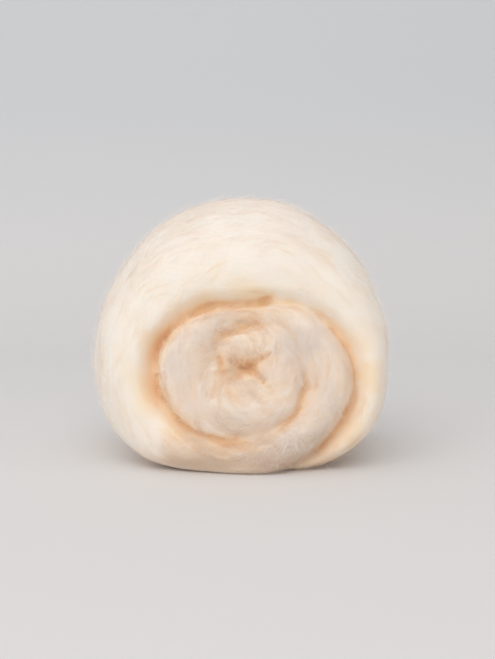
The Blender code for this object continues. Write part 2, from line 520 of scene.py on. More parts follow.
@dataclass
class Skin:
    """A closed surface as arrays: its points, its four-sided faces and each point's neighbours.

    straightness: the power by which combing prefers the points that lie straight along the flow.
    level_rounds: how many rounds of easing find the level that combed values are taken from.
    """

    points: Array
    faces: Array
    neighbours: Array
    straightness: int = 8
    level_rounds: int = 12

    @classmethod
    def remeshed(cls, mesh: bpy.types.Mesh, voxel: float) -> "Skin":
        """The outer skin of a closed mesh that may run through itself, made anew of even small faces.

        Args:
            mesh: the closed mesh. It is removed.
            voxel: how long the new faces' sides are.

        Returns:
            The skin.
        """
        rough = shown(mesh)
        remesh = rough.modifiers.new("even", "REMESH")
        remesh.mode = "VOXEL"
        remesh.voxel_size = voxel
        even = bpy.data.meshes.new_from_object(rough.evaluated_get(bpy.context.evaluated_depsgraph_get()))
        points = np.empty(len(even.vertices) * 3, np.float32)
        even.vertices.foreach_get("co", points)
        faces = np.empty(len(even.loops), np.int32)
        even.loops.foreach_get("vertex_index", faces)
        edges = np.empty(len(even.edges) * 2, np.int32)
        even.edges.foreach_get("vertices", edges)
        bpy.data.objects.remove(rough)
        bpy.data.meshes.remove(mesh)
        bpy.data.meshes.remove(even)
        points = points.reshape(-1, 3).astype(float)
        return cls(points, faces.reshape(-1, 4), cls.table(edges.reshape(-1, 2), len(points)))

    @staticmethod
    def table(edges: Array, count: int) -> Array:
        """Each point's neighbours along the edges, one row a point, filled up with the point itself.

        Args:
            edges: the edges, two points' indices a row.
            count: how many points there are.

        Returns:
            The table of indices.
        """
        both = np.concatenate([edges, edges[:, ::-1]])
        both = both[np.argsort(both[:, 0], kind="stable")]
        degree = np.bincount(both[:, 0], minlength=count)
        first = np.concatenate([[0], np.cumsum(degree)[:-1]])
        table = np.repeat(np.arange(count)[:, None], degree.max(), axis=1)
        table[both[:, 0], np.arange(len(both)) - first[both[:, 0]]] = both[:, 1]
        return table

    def normals(self) -> Array:
        """Each point's outward direction: the sum of its faces' diagonals' cross products.

        Returns:
            A unit vector for each point.
        """
        corner = self.points[self.faces]
        face = np.cross(corner[:, 2] - corner[:, 0], corner[:, 3] - corner[:, 1])
        total = np.zeros_like(self.points)
        for index in self.faces.T:
            for axis in range(3):
                total[:, axis] += np.bincount(index, face[:, axis], len(self.points))
        return unit(total)

    def eased(self, values: Array, rounds: int) -> Array:
        """Values after every point has taken the mean of its own and its neighbours', round after round.

        Args:
            values: a value or a row of them for each point.
            rounds: how often the mean is taken.

        Returns:
            The eased values.
        """
        for _ in range(rounds):
            values = values[self.neighbours].mean(axis=1)
        return values

    def combed(self, flow: Array, values: Array, rounds: int) -> Array:
        """Values drawn out along a flow over the surface, as a comb draws out wool.

        Round after round, every point takes the mean of the points up to two steps away, each weighed by a
        high power of how straight it lies along the flow from the point.

        Args:
            flow: the flow's direction at each point.
            values: the values at the start.
            rounds: how often the mean is taken.

        Returns:
            The drawn out values, about nought and one wide.
        """
        reach = self.neighbours[self.neighbours].reshape(len(self.points), -1)
        offset = self.points[reach] - self.points[:, None]
        straight = np.abs(np.einsum("pnk,pk->pn", unit(offset), flow))
        weight = straight**self.straightness + LEAST_SHARE
        weight /= weight.sum(axis=1, keepdims=True)
        for _ in range(rounds):
            values = np.einsum("pn,pn->p", weight, values[reach])
        values = values - self.eased(values, self.level_rounds)
        return values / values.std()

    def hollow(self, rounds: int, full: float) -> Array:
        """How deep each point lies in a hollow: how far the eased skin stands above it, as a share.

        Args:
            rounds: how many rounds the skin is eased. More find wider hollows.
            full: the depth that counts as 1.

        Returns:
            A share from 0 to 1 for each point.
        """
        above = dot(self.eased(self.points, rounds) - self.points, self.normals())[:, 0]
        return np.clip(above / full, 0.0, 1.0)

    def nearest(self, near: Array, places: Array) -> Array:
        """Of each index's own point and its neighbours, the one nearest to a place.

        Args:
            near: the points' indices.
            places: a place for each.

        Returns:
            The nearest points' indices.
        """
        around = np.concatenate([near[:, None], self.neighbours[near]], axis=1)
        gap = np.sum((self.points[around] - places[:, None]) ** 2, axis=-1)
        return around[np.arange(len(near)), gap.argmin(axis=1)]


# ---------------------------------------------------------------------------------------- where on the roll


class Unevenness(Enum):
    """The noises that keep the wool from being even, each with a seed and a size of cell of its own."""

    LUMP = SpaceNoise(11, 0.020)
    CLUMP = SpaceNoise(12, 0.0052)
    BROAD_SWING = SpaceNoise(41, 0.014)
    FINE_SWING = SpaceNoise(42, 0.006)
    PLEAT = SpaceNoise(51, 1.0)
    FOLD = SpaceNoise(52, 0.0035)
    GROOVE = SpaceNoise(61, 0.011)
    BROAD_MOTTLE = SpaceNoise(62, 0.009)
    FOOT_SHADE = SpaceNoise(63, 0.008)
    FINE_MOTTLE = SpaceNoise(64, 0.0032)
    HEART = SpaceNoise(65, 0.006)

    def at(self, points: Array) -> Array:
        """The noise's values at points, from about -1 to 1."""
        return self.value.at(points)


class Stretch(NamedTuple):
    """A stretch of a turn over which something is stronger or weaker, the most so at its middle.

    middle_deg: the angle of its middle, clockwise seen from the front, 0 to the right.
    reach_deg: how far to either side it is e times less.
    share: how strong it is at its middle.
    """

    middle_deg: float
    reach_deg: float
    share: float

    def at(self, angle: Array) -> Array:
        """How strong it is at each angle."""
        return self.share * bell(angle - self.middle_deg, self.reach_deg)


@dataclass(frozen=True)
class Regions:
    """Which part of the roll each point lies on, as shares from 0 to 1 and as distances.

    face_depth: how far from the middle of the roll's depth a face's own looks are full.
    back_share: how strong they are on the back, beside the front.
    turn_blend: how far to either side of a groove one turn's looks run into the other's.
    below_deg, below_width_deg: the stretch of the last turn, underneath, where the band's edge shows.
    below_power: how suddenly that stretch ends.
    core_place: the middle of the felted core, across and up from the winding axis.
    core_narrow: what a distance across counts for, beside one up or down.
    core_inside, core_outside: how far out the wool is felted fully, and how far out it is felted at all.
    away_from, away_to: the depths between which the looks of the flank and the back set in.
    """

    winding: Winding
    face_depth: float = 0.02
    back_share: float = 0.7
    turn_blend: float = 0.003
    below_deg: float = 88.0
    below_width_deg: float = 40.0
    below_power: int = 4
    core_place: Span = (0.0060, 0.0030)
    core_narrow: float = 0.75
    core_inside: float = 0.0120
    core_outside: float = 0.0215
    away_from: float = -0.026
    away_to: float = 0.030

    def face_place(self, points: Array) -> Array:
        """Places on the spiral face: across and up from the winding axis, one row each."""
        return points[:, [0, 2]] - (self.winding.outline.axis_across, self.winding.outline.axis_height)

    def in_front(self, points: Array) -> Array:
        """1 on the front, 0 from the middle of the roll's depth backwards."""
        return ease(0.0, -self.face_depth, points[:, 1])

    def off_middle(self, points: Array) -> Array:
        """1 towards either face, 0 at the middle of the roll's depth."""
        return ease(0.0, self.face_depth, np.abs(points[:, 1]))

    def on_faces(self, points: Array) -> Array:
        """1 on the front, less on the back, and 0 at the middle of the roll's depth."""
        return self.off_middle(points) * np.where(points[:, 1] < 0, 1.0, self.back_share)

    def away(self, points: Array) -> Array:
        """1 on the flank and the back of the roll, where the locks stand out more, 0 in front."""
        return ease(self.away_from, self.away_to, points[:, 1])

    def groove_gap(self, points: Array, turns_in: int) -> Array:
        """How far each point lies outside the groove within the last turn, or within a turn further in."""
        angle, radius = self.winding.polar(points)
        return radius - self.winding.inner(self.winding.outermost(angle) - FULL_TURN_DEG * turns_in)

    def inside_last_turn(self, points: Array) -> Array:
        """1 on the faces of the inner turns, 0 on the last turn that wraps them."""
        return ease(self.turn_blend, -self.turn_blend, self.groove_gap(points, 0))

    def edge_share(self, points: Array) -> Array:
        """Where the band's edges show, which are rougher: on the inner turns and on the ring below them.

        Args:
            points: the points.

        Returns:
            1 there and 0 elsewhere, for each point.
        """
        angle, _ = self.winding.polar(points)
        below = bell(angle - self.below_deg, self.below_width_deg, self.below_power) * self.in_front(points)
        return np.maximum(self.inside_last_turn(points), below)

    def calm(self, points: Array) -> Array:
        """Where the inner turns have felted together: 1 round the core on either face, 0 outside it."""
        across, up = (self.face_place(points) - self.core_place).T
        return ease(self.core_outside, self.core_inside, np.hypot(self.core_narrow * across, up))


@dataclass(frozen=True)
class Comb:
    """The way in which the wool is combed: along the band, and turning in to the pinch near the axis.

    swirl_start, swirl_full: how far from the axis the turning in starts, and where it is full.
    swirl_deg: how far the wool turns in there.
    face_from, face_full: how straight along the axis the skin looks where a face starts, and on a face.
    broad_swing, fine_swing: how far the wool swings to and fro, in radians.
    flank_swing: the share of the swings that is left off the faces.
    """

    winding: Winding
    swirl_start: float = 0.024
    swirl_full: float = 0.005
    swirl_deg: float = 62.0
    face_from: float = 0.3
    face_full: float = 0.8
    broad_swing: float = 0.35
    fine_swing: float = 0.22
    flank_swing: float = 0.55

    def flow(self, skin: Skin) -> Array:
        """The direction in which the wool is combed at each point of the skin.

        It runs along the winding, and near the centre of either face it turns in towards the axis. It is
        then laid on the skin, and swung to and fro a little over the surface.

        Args:
            skin: the skin.

        Returns:
            A unit vector for each point.
        """
        normals = skin.normals()
        angle, radius = self.winding.polar(skin.points)
        angle = np.radians(angle)
        nought = np.zeros_like(angle)
        round_it = np.stack([-np.sin(angle), nought, -np.cos(angle)], axis=1)
        inward = np.stack([-np.cos(angle), nought, np.sin(angle)], axis=1)
        on_face = ease(self.face_from, self.face_full, np.abs(normals[:, 1]))
        turn_in = np.radians(self.swirl_deg) * ease(self.swirl_start, self.swirl_full, radius) * on_face
        swing = self.broad_swing * Unevenness.BROAD_SWING.at(skin.points)
        swing += self.fine_swing * Unevenness.FINE_SWING.at(skin.points)
        swing *= raised(self.flank_swing, on_face)
        along = np.cos(turn_in)[:, None] * round_it + np.sin(turn_in)[:, None] * inward
        along = unit(along - dot(along, normals) * normals)
        return unit(turned(along, normals, swing[:, None]))


# ------------------------------------------------------------------------------------------ folds and locks


class Fold(NamedTuple):
    """A crease in the wool of the spiral face: steep on one side of its course, easy on the other.

    path: its course as (across, up) from the winding axis. The easy side lies on its left.
    steep: how far its depth takes to fall off on the steep side.
    easy: how far it takes on the easy side.
    depth: how deep it is along its middle.
    notch: how much deeper still the narrow line along its very middle is.
    """

    path: tuple[Span, ...]
    steep: float
    easy: float
    depth: float
    notch: float


FOLDS = (
    Fold(
        ((-0.0110, -0.0040), (-0.0040, -0.0012), (0.0010, 0.0000), (0.0060, 0.0004)),
        steep=0.0044, easy=0.0044, depth=0.0009, notch=0.0000,
    ),
    Fold(
        ((0.0024, -0.0008), (0.0004, 0.0004), (-0.0026, 0.0018), (-0.0062, 0.0036)),
        steep=0.0024, easy=0.0024, depth=0.0016, notch=0.0020,
    ),
    Fold(
        ((-0.0044, 0.0024), (-0.0010, 0.0006), (0.0022, -0.0004), (0.0056, -0.0022)),
        steep=0.0024, easy=0.0024, depth=0.0011, notch=0.0018,
    ),
    Fold(
        ((0.0006, 0.0006), (0.0048, 0.0030), (0.0092, 0.0050), (0.0150, 0.0060)),
        steep=0.0026, easy=0.0012, depth=0.0013, notch=0.0022,
    ),
    Fold(
        ((0.0022, -0.0006), (0.0058, -0.0038), (0.0088, -0.0076), (0.0112, -0.0120)),
        steep=0.0026, easy=0.0012, depth=0.0013, notch=0.0018,
    ),
    Fold(
        ((0.0010, -0.0014), (-0.0030, -0.0038), (-0.0068, -0.0052), (-0.0122, -0.0060)),
        steep=0.0026, easy=0.0026, depth=0.0016, notch=0.0008,
    ),
    Fold(
        ((-0.0080, -0.0020), (-0.0110, -0.0016), (-0.0150, -0.0012)),
        steep=0.0014, easy=0.0020, depth=0.0008, notch=0.0012,
    ),
    Fold(
        ((-0.0082, -0.0010), (-0.0094, 0.0026), (-0.0108, 0.0070), (-0.0124, 0.0110)),
        steep=0.0018, easy=0.0012, depth=0.0008, notch=0.0015,
    ),
    Fold(
        (
            (-0.0108, 0.0078), (-0.0076, 0.0112), (-0.0032, 0.0133), (0.0040, 0.0152),
            (0.0130, 0.0150), (0.0200, 0.0105),
        ),
        steep=0.0010, easy=0.0028, depth=0.0009, notch=0.0010,
    ),
    Fold(
        ((0.0052, -0.0060), (0.0060, -0.0110), (0.0056, -0.0160), (0.0040, -0.0200)),
        steep=0.0022, easy=0.0012, depth=0.0006, notch=0.0003,
    ),
    Fold(
        ((-0.0060, -0.0076), (-0.0100, -0.0090), (-0.0140, -0.0104), (-0.0190, -0.0110)),
        steep=0.0026, easy=0.0016, depth=0.0005, notch=0.0007,
    ),
    Fold(
        ((0.0232, -0.0030), (0.0212, -0.0085), (0.0183, -0.0167), (0.0120, -0.0235)),
        steep=0.0018, easy=0.0026, depth=0.0005, notch=0.0008,
    ),
    Fold(
        ((0.0205, -0.0090), (0.0245, -0.0075), (0.0276, -0.0071), (0.0310, -0.0080)),
        steep=0.0016, easy=0.0016, depth=0.0004, notch=0.0007,
    ),
    Fold(
        ((-0.0103, 0.0110), (-0.0080, 0.0160), (-0.0044, 0.0192), (0.0000, 0.0214)),
        steep=0.0026, easy=0.0014, depth=0.0005, notch=0.0006,
    ),
    Fold(
        ((-0.0252, -0.0240), (-0.0215, -0.0266), (-0.0170, -0.0286)),
        steep=0.0016, easy=0.0024, depth=0.0003, notch=0.0005,
    ),
    Fold(
        (
            (-0.0200, 0.0186), (-0.0106, 0.0222), (-0.0020, 0.0225), (0.0080, 0.0232),
            (0.0230, 0.0230),
        ),
        steep=0.0012, easy=0.0020, depth=0.0003, notch=0.0006,
    ),
    Fold(
        ((0.0052, 0.0226), (0.0082, 0.0246), (0.0120, 0.0272)),
        steep=0.0018, easy=0.0018, depth=0.0008, notch=0.0009,
    ),
    Fold(
        (
            (-0.0170, -0.0232), (-0.0090, -0.0258), (0.0010, -0.0268), (0.0100, -0.0256),
            (0.0200, -0.0190),
        ),
        steep=0.0012, easy=0.0012, depth=0.0004, notch=0.0014,
    ),
    Fold(
        (
            (-0.0469, 0.0004), (-0.0425, 0.0159), (-0.0343, 0.0237), (-0.0184, 0.0363),
            (-0.0003, 0.0440), (0.0150, 0.0420), (0.0280, 0.0330), (0.0375, 0.0170),
        ),
        steep=0.0020, easy=0.0036, depth=0.0007, notch=0.0000,
    ),
)


@dataclass(frozen=True)
class Creases:
    """The folds and the pleats that run in to the pinch on either face.

    course_step: how far apart the samples along a fold's course lie.
    start_share, start_run: how deep a fold is where it starts, and over what share of its course it fills.
    notch_width, notch_start, notch_taper: a notch's width, its factor at the start and what it loses.
    ragged_width, ragged_depth: how uneven a notch's width and depth are.
    pleat_height: how high the pleats stand.
    pleat_cells: the radius, in cells of noise, of the circle that they are taken from.
    pleat_twist, twist_radius: how fast they turn on with the logarithm of the distance, and from where.
    pleat_run: how far along a pleat its height changes.
    pleat_inside, pleat_outside: how far from the axis they are full, and where they end.
    pleat_full: the share of the way out at which they start to fade.
    least_radius: distances from the axis count as this at the least.
    """

    regions: Regions
    course_step: float = 0.0005
    start_share: float = 0.4
    start_run: float = 0.25
    notch_width: float = 0.0008
    notch_start: float = 1.3
    notch_taper: float = 0.5
    ragged_width: float = 0.4
    ragged_depth: float = 0.5
    pleat_height: float = 0.0003
    pleat_cells: float = 4.0
    pleat_twist: float = 0.8
    twist_radius: float = 0.01
    pleat_run: float = 0.012
    pleat_inside: float = 0.0030
    pleat_outside: float = 0.0210
    pleat_full: float = 0.6
    least_radius: float = 0.0005

    def sunk(self, points: Array) -> Array:
        """How deep the folds together and their notches together are at each point, as two rows."""
        return sum(self.fold_depth(points, fold) for fold in FOLDS)

    def fold_depth(self, points: Array, fold: Fold) -> Array:
        """How deep a fold and its notch are at each point, as two rows.

        Either is a bell curve of the distance from the fold's course: for the fold wide or narrow by the
        side, for the notch narrow on both. Towards the far end of the course either gets shallower in step.

        Args:
            points: the points.
            fold: the fold.

        Returns:
            The fold's depth and the notch's.
        """
        course = np.array(fold.path)
        steps = np.concatenate([[0.0], np.cumsum(np.linalg.norm(np.diff(course, axis=0), axis=1))])
        count = int(steps[-1] / self.course_step) + 2
        samples = smooth_through(np.linspace(0, steps[-1], count), steps, course)
        place = self.regions.face_place(points)
        heading = np.gradient(samples, axis=0)
        gap = np.full(len(points), np.inf)
        nearest = np.zeros(len(points), int)
        for k, sample in enumerate(samples):
            here = np.hypot(*(place - sample).T)
            nearest = np.where(here < gap, k, nearest)
            gap = np.minimum(here, gap)
        offset = place - samples[nearest]
        ahead = heading[nearest]
        left = ahead[:, 0] * offset[:, 1] - ahead[:, 1] * offset[:, 0] > 0
        share = nearest / (len(samples) - 1)
        ends = raised(self.start_share, ease(0.0, self.start_run, share)) * (1 - share)
        ragged = Unevenness.FOLD.at(points)
        side = np.where(left, fold.easy, fold.steep)
        broad = fold.depth * bell(gap, SPREAD_REACH * side)
        taper = self.notch_start - self.notch_taper * share
        width = self.notch_width * (taper + self.ragged_width * ragged)
        notch = fold.notch * (1 + self.ragged_depth * ragged) * bell(gap, SPREAD_REACH * width)
        return ends * np.stack([broad, notch])

    def pleats(self, points: Array) -> Array:
        """How far the wool stands up in soft pleats that swirl in to the pinch.

        The pleats are noise over the angle about the axis, which turns on with the logarithm of the
        distance, so that each runs in as a spiral. They fade out at the pinch and towards the ring.

        Args:
            points: the points.

        Returns:
            A height for each, above or below nought.
        """
        place = self.regions.face_place(points)
        radius = np.maximum(np.hypot(*place.T), self.least_radius)
        angle = np.arctan2(place[:, 1], place[:, 0]) + self.pleat_twist * np.log(radius / self.twist_radius)
        cells = np.stack([np.cos(angle), np.sin(angle)], axis=1) * self.pleat_cells
        waves = Unevenness.PLEAT.at(np.column_stack([cells, radius / self.pleat_run]))
        share = ease(self.pleat_outside, self.pleat_full * self.pleat_outside, radius)
        share *= ease(0.0, self.pleat_inside, radius)
        return self.pleat_height * share * waves


@dataclass(frozen=True)
class Locks:
    """The clumps, the combed locks and the fine strands of the wool, as heights about one tall.

    seed: what the locks' and the strands' noise comes from.
    flat_share: how rough the band's flat side is, beside its edges.
    away_share: how rough the flank and the back are at the least.
    core_share: how rough the wool is at the axis, beside further out.
    core_from, core_full: how far from the axis that share starts to grow, and where it is 1.
    lock_blur: how many rounds of easing the locks' noise starts with.
    lock_rounds, strand_rounds: how many rounds of combing draw them out.
    """

    regions: Regions
    comb: Comb
    seed: int = 5
    flat_share: float = 0.08
    away_share: float = 0.50
    core_share: float = 0.35
    core_from: float = 0.006
    core_full: float = 0.018
    lock_blur: int = 5
    lock_rounds: int = 45
    strand_rounds: int = 18

    def clumps(self, points: Array) -> Array:
        """The rounded clumps into which the wool of the band's edges has gathered, about one tall."""
        return self.regions.edge_share(points) * Unevenness.CLUMP.at(points)

    def tufts(self, skin: Skin) -> tuple[Array, Array]:
        """Combed locks and the finer strands in them. The band's flat side is calmer than its edges.

        Args:
            skin: the skin.

        Returns:
            The locks' heights and the strands', about one tall.
        """
        flow = self.comb.flow(skin)
        rng = np.random.default_rng(self.seed)
        _, radius = self.regions.winding.polar(skin.points)
        rough = raised(self.flat_share, self.regions.edge_share(skin.points))
        rough = np.maximum(rough, self.away_share * self.regions.away(skin.points))
        rough *= raised(self.core_share, ease(self.core_from, self.core_full, radius))
        blurred = skin.eased(rng.normal(size=len(skin.points)), self.lock_blur)
        lock = skin.combed(flow, blurred, self.lock_rounds)
        strand = skin.combed(flow, rng.normal(size=len(skin.points)), self.strand_rounds)
        return rough * lock, rough * strand


@dataclass(frozen=True)
class RollSkin:
    """The roll's skin: the wound band as one closed surface, with the folds and locks of combed wool.

    voxel: how long the sides of the surface's faces are.
    first_easing, fold_easing: how many rounds it is eased at first, and after the folds.
    core_easing, core_calm: how many rounds the felted core is eased, and what share of that it keeps.
    open_full: how straight along the axis the skin looks where the folds are full.
    lump_height, clump_height, lock_height, strand_height: how high each of them stands.
    base_clear: how high above the surface below they are full.
    """

    regions: Regions
    creases: Creases
    locks: Locks
    voxel: float = 0.00085
    first_easing: int = 6
    fold_easing: int = 3
    core_easing: int = 110
    core_calm: float = 0.9
    open_full: float = 0.5
    lump_height: float = 0.0009
    clump_height: float = 0.00040
    lock_height: float = 0.00019
    strand_height: float = 0.00016
    base_clear: float = 0.006

    def build(self) -> Skin:
        """The finished skin: wound, felted at its core, folded, and raised into lumps, clumps and locks.

        Returns:
            The skin.
        """
        rings = self.regions.winding.rings()
        rough = new_mesh("rough_band", rings.reshape(-1, 3), tube_faces(*rings.shape[:2]))
        skin = Skin.remeshed(rough, self.voxel)
        skin.points = skin.eased(skin.points, self.first_easing)
        calm = self.core_calm * self.regions.calm(skin.points) * self.regions.off_middle(skin.points)
        skin.points += calm[:, None] * (skin.eased(skin.points, self.core_easing) - skin.points)
        normals = skin.normals()
        open_face = ease(0.0, self.open_full, np.abs(normals[:, 1])) * self.regions.on_faces(skin.points)
        carved = self.creases.pleats(skin.points) - self.creases.sunk(skin.points).sum(axis=0)
        carved *= open_face
        skin.points = skin.eased(skin.points + normals * carved[:, None], self.fold_easing)
        normals = skin.normals()
        lump = self.lump_height * Unevenness.LUMP.at(skin.points)
        lump += self.clump_height * self.locks.clumps(skin.points)
        lock, strand = self.locks.tufts(skin)
        tufts = self.lock_height * lock + self.strand_height * strand
        clear = ease(0.0, self.base_clear, skin.points[:, 2])
        skin.points = skin.points + normals * ((lump + tufts) * clear)[:, None]
        skin.points[:, 2] = np.maximum(skin.points[:, 2], 0.0)
        return skin


def corner_places(skin: Skin, winding: Winding) -> Array:
    """Where each corner of each face lies along and across the band.

    The corners' winding angles are counted on from that of the face's middle, so that no face is torn
    between two turns.

    Args:
        skin: the skin.
        winding: the winding.

    Returns:
        Two columns, along and across, with four rows for each face.
    """
    corners = skin.points[skin.faces]
    middle = corners.mean(axis=1)
    turn = winding.turn_at(middle)
    angle, _ = winding.polar(middle)
    here, _ = winding.polar(corners.reshape(-1, 3))
    step = (here.reshape(-1, 4) - angle[:, None] + HALF_TURN_DEG) % FULL_TURN_DEG - HALF_TURN_DEG
    turns = np.clip(turn[:, None] + step, winding.first, winding.last)
    return winding.along_and_across(corners.reshape(-1, 3), turns.ravel())


# ------------------------------------------------------------------------------------------ painted shade and tone


class PaintedHollowShade(NamedTuple):
    """Painted shade in hollows of one width: how much warmer the wool's colour is made there.

    rounds: how many rounds of easing find them.
    full: the depth at which the painted shade is full.
    share: how much warmer it then makes the colour.
    """

    rounds: int
    full: float
    share: float


@dataclass(frozen=True)
class Shading:
    """Painted shade over the roll, and a warmer tone on the band's edges, each as a share from 0 to 1.

    groove_*: painted shade in the groove within the last turn: how warm, how far it reaches out over that
        turn and in over the next, and how uneven. It reaches further in over inward_wide, and is fainter
        over open_less.
    lip_*: wide painted shade where the last turn's inner side turns under, fainter over lip_less.
    seam_*: a thin painted dark line along the groove: how warm, its reach, and how strong the groove is
    where
        the line starts to show and shows fully.
    line_*: painted shade in the groove one turn further in: how warm, its reach, and a fainter halo about
    it.
    fold_warmth, notch_warmth: painted shade in folds and notches, full where as deep as full_fold and
        full_notch.
    pinch_*: painted shade in the pinch: its place from the axis, how far it reaches and how warm it is made.
    heart_*: painted shade over the heart of the spiral, round the pinch: its reach, how uneven it is, how
    warm and how darkened.
    edge_warmth, broad_mottle, fine_mottle: how warm the band's edges are made, and how mottled: a warmer
    tone
        of their own, and painted shade too, as it also covers the darkened foot and the ring's right side.
    tail_*: painted shade over the ring's right side, which runs down into the tail, as a share of that, and
        the places across between which it sets in.
    lock_warmth, strand_warmth, clump_warmth: painted light and shade on them: below nought, their tops are
    made less warm and lighter, and the hollows between them warmer.
    foot_shade_share, foot_shade_uneven, foot_shade_groove, foot_shade_core, foot_shade_core_blend: painted
    shade near the surface below,
        a darker brown: how strong and how uneven, how much less in grooves, the share of it inside the ring,
        and over what gap it comes to full outside it. It sets in between the heights foot_shade_up and the
        places across foot_shade_across.
    side_*: the same painted shade on the right flank of the ring.
    rim_*: painted shade along the very foot, where the roll meets the surface below: how strong, how high
    up.
    """

    regions: Regions
    creases: Creases
    locks: Locks
    groove_share: float = 0.33
    groove_outward: float = 0.0078
    groove_inward: float = 0.0028
    groove_uneven: float = 0.6
    inward_wide: Stretch = Stretch(-95, 40, 1.4)
    open_less: tuple[Stretch, ...] = (
        Stretch(-38, 22, 0.90),
        Stretch(10, 24, 0.45),
        Stretch(-145, 25, 0.50),
        Stretch(55, 25, 0.38),
    )
    lip_share: float = 0.80
    lip_reach: float = 0.0260
    lip_less: tuple[Stretch, ...] = (Stretch(-38, 25, 0.45), Stretch(20, 40, 0.35))
    seam_share: float = 0.35
    seam_reach: float = 0.0009
    seam_from: float = 0.1
    seam_full: float = 0.6
    line_share: float = 0.55
    line_reach: float = 0.0012
    line_halo: float = 0.25
    line_fade: float = 0.0044
    hollows: tuple[PaintedHollowShade, ...] = (PaintedHollowShade(16, 0.0008, 0.24), PaintedHollowShade(150, 0.0034, 0.25))
    fold_warmth: float = 0.34
    full_fold: float = 0.0040
    notch_warmth: float = 0.46
    full_notch: float = 0.0012
    pinch_place: Span = (-0.0010, 0.0010)
    pinch_reach: float = 0.0030
    pinch_share: float = 0.42
    heart_reach: float = 0.0165
    heart_uneven: float = 0.5
    heart_warmth: float = 0.21
    heart_painted_dim: float = 0.08
    edge_warmth: float = 0.14
    broad_mottle: float = 1.0
    fine_mottle: float = 0.7
    tail_share: float = 0.9
    tail_from: float = 0.022
    tail_full: float = 0.036
    lock_warmth: float = -0.06
    strand_warmth: float = -0.08
    clump_warmth: float = -0.10
    foot_shade_share: float = 0.48
    foot_shade_uneven: float = 0.5
    foot_shade_groove: float = 0.7
    foot_shade_core: float = 0.35
    foot_shade_core_blend: float = 0.003
    foot_shade_up: Span = (0.022, 0.004)
    foot_shade_across: Span = (-0.036, -0.014)
    side_share: float = 0.15
    side_across: Span = (0.034, 0.050)
    side_up: Span = (0.080, 0.050)
    rim_share: float = 0.8
    rim_height: float = 0.0022

    def groove_nearness(self, points: Array) -> Array:
        """How near each point lies to a groove between two turns.

        Args:
            points: the points.

        Returns:
            About 1 in a groove and 0 well away from it, for each point.
        """
        angle, _ = self.regions.winding.polar(points)
        outer_gap = self.regions.groove_gap(points, 0)
        inner_gap = self.regions.groove_gap(points, 1)
        inward = self.groove_inward * (1 + self.inward_wide.at(angle))
        outer_reach = np.where(outer_gap > 0, self.groove_outward, inward)
        open_side = 1 - sum(stretch.at(angle) for stretch in self.open_less)
        lip_side = 1 - sum(stretch.at(angle) for stretch in self.lip_less)
        near = bell(outer_gap, outer_reach) * open_side
        near += self.lip_share * bell(outer_gap, self.lip_reach) * (outer_gap > 0) * lip_side
        seam = ease(self.seam_from, self.seam_full, open_side)
        near += self.seam_share * bell(outer_gap, self.seam_reach) * seam
        line = bell(inner_gap, self.line_reach) + self.line_halo * bell(inner_gap, self.line_fade)
        return np.maximum(near, 0.0) + self.line_share * (1 - self.regions.calm(points)) * line

    def from_pinch(self, points: Array) -> Array:
        """How far each point lies from the pinch, seen from the front."""
        return np.hypot(*(self.regions.face_place(points) - self.pinch_place).T)

    def heart(self, points: Array) -> Array:
        """How near each point of the front lies to the pinch, unevenly: where shade is painted on the heart.
        """
        uneven = 1 + self.heart_uneven * Unevenness.HEART.at(points)
        return self.regions.in_front(points) * bell(self.from_pinch(points), self.heart_reach) * uneven

    def crease(self, skin: Skin) -> Array:
        """Painted shade: how much warmer the wool is made in hollows, folds, notches and round the pinch.

        Args:
            skin: the skin.

        Returns:
            How much painted shade they add at each point.
        """
        on_faces = self.regions.on_faces(skin.points)
        broad, notch = self.creases.sunk(skin.points)
        fold = self.fold_warmth * np.clip(broad / self.full_fold, 0.0, 1.0)
        fold += self.notch_warmth * np.clip(notch / self.full_notch, 0.0, 1.0)
        crease = sum(width.share * skin.hollow(width.rounds, width.full) for width in self.hollows)
        crease += on_faces * fold
        crease += self.pinch_share * on_faces * bell(self.from_pinch(skin.points), self.pinch_reach)
        return crease + self.heart_warmth * self.heart(skin.points)

    def tone_and_painted_shade(self, skin: Skin) -> Array:
        """How warm the wool looks at each point, from 0 on the outside of the roll to 1 in the pinch.

        Most of it is painted shade: grooves, creases, the lip's underside, the foot, the ring's right side
        and the hollows between locks are painted warmer, the more so the deeper they are, and the locks'
        tops lighter. The band's edges, which show on the faces, also have a warmer, mottled tone of their
        own.

        Args:
            skin: the skin.

        Returns:
            How warm each point is made, painted shade included.
        """
        points = skin.points
        lock, strand = self.locks.tufts(skin)
        uneven = 1 + self.groove_uneven * Unevenness.GROOVE.at(points)
        tail = self.tail_share * self.regions.in_front(points)
        tail *= ease(self.tail_from, self.tail_full, points[:, 0])
        edge = np.maximum.reduce([self.regions.edge_share(points), self.painted_dark_shade(points), tail])
        mottle = self.broad_mottle * Unevenness.BROAD_MOTTLE.at(points)
        mottle += self.fine_mottle * Unevenness.FINE_MOTTLE.at(points)
        edge = self.edge_warmth * edge * (1 + mottle)
        groove = self.groove_share * self.groove_nearness(points) * uneven
        tops = self.lock_warmth * lock + self.strand_warmth * strand
        tops += self.clump_warmth * self.locks.clumps(points)
        return np.clip(edge + self.crease(skin) + groove + tops, 0.0, 1.0)

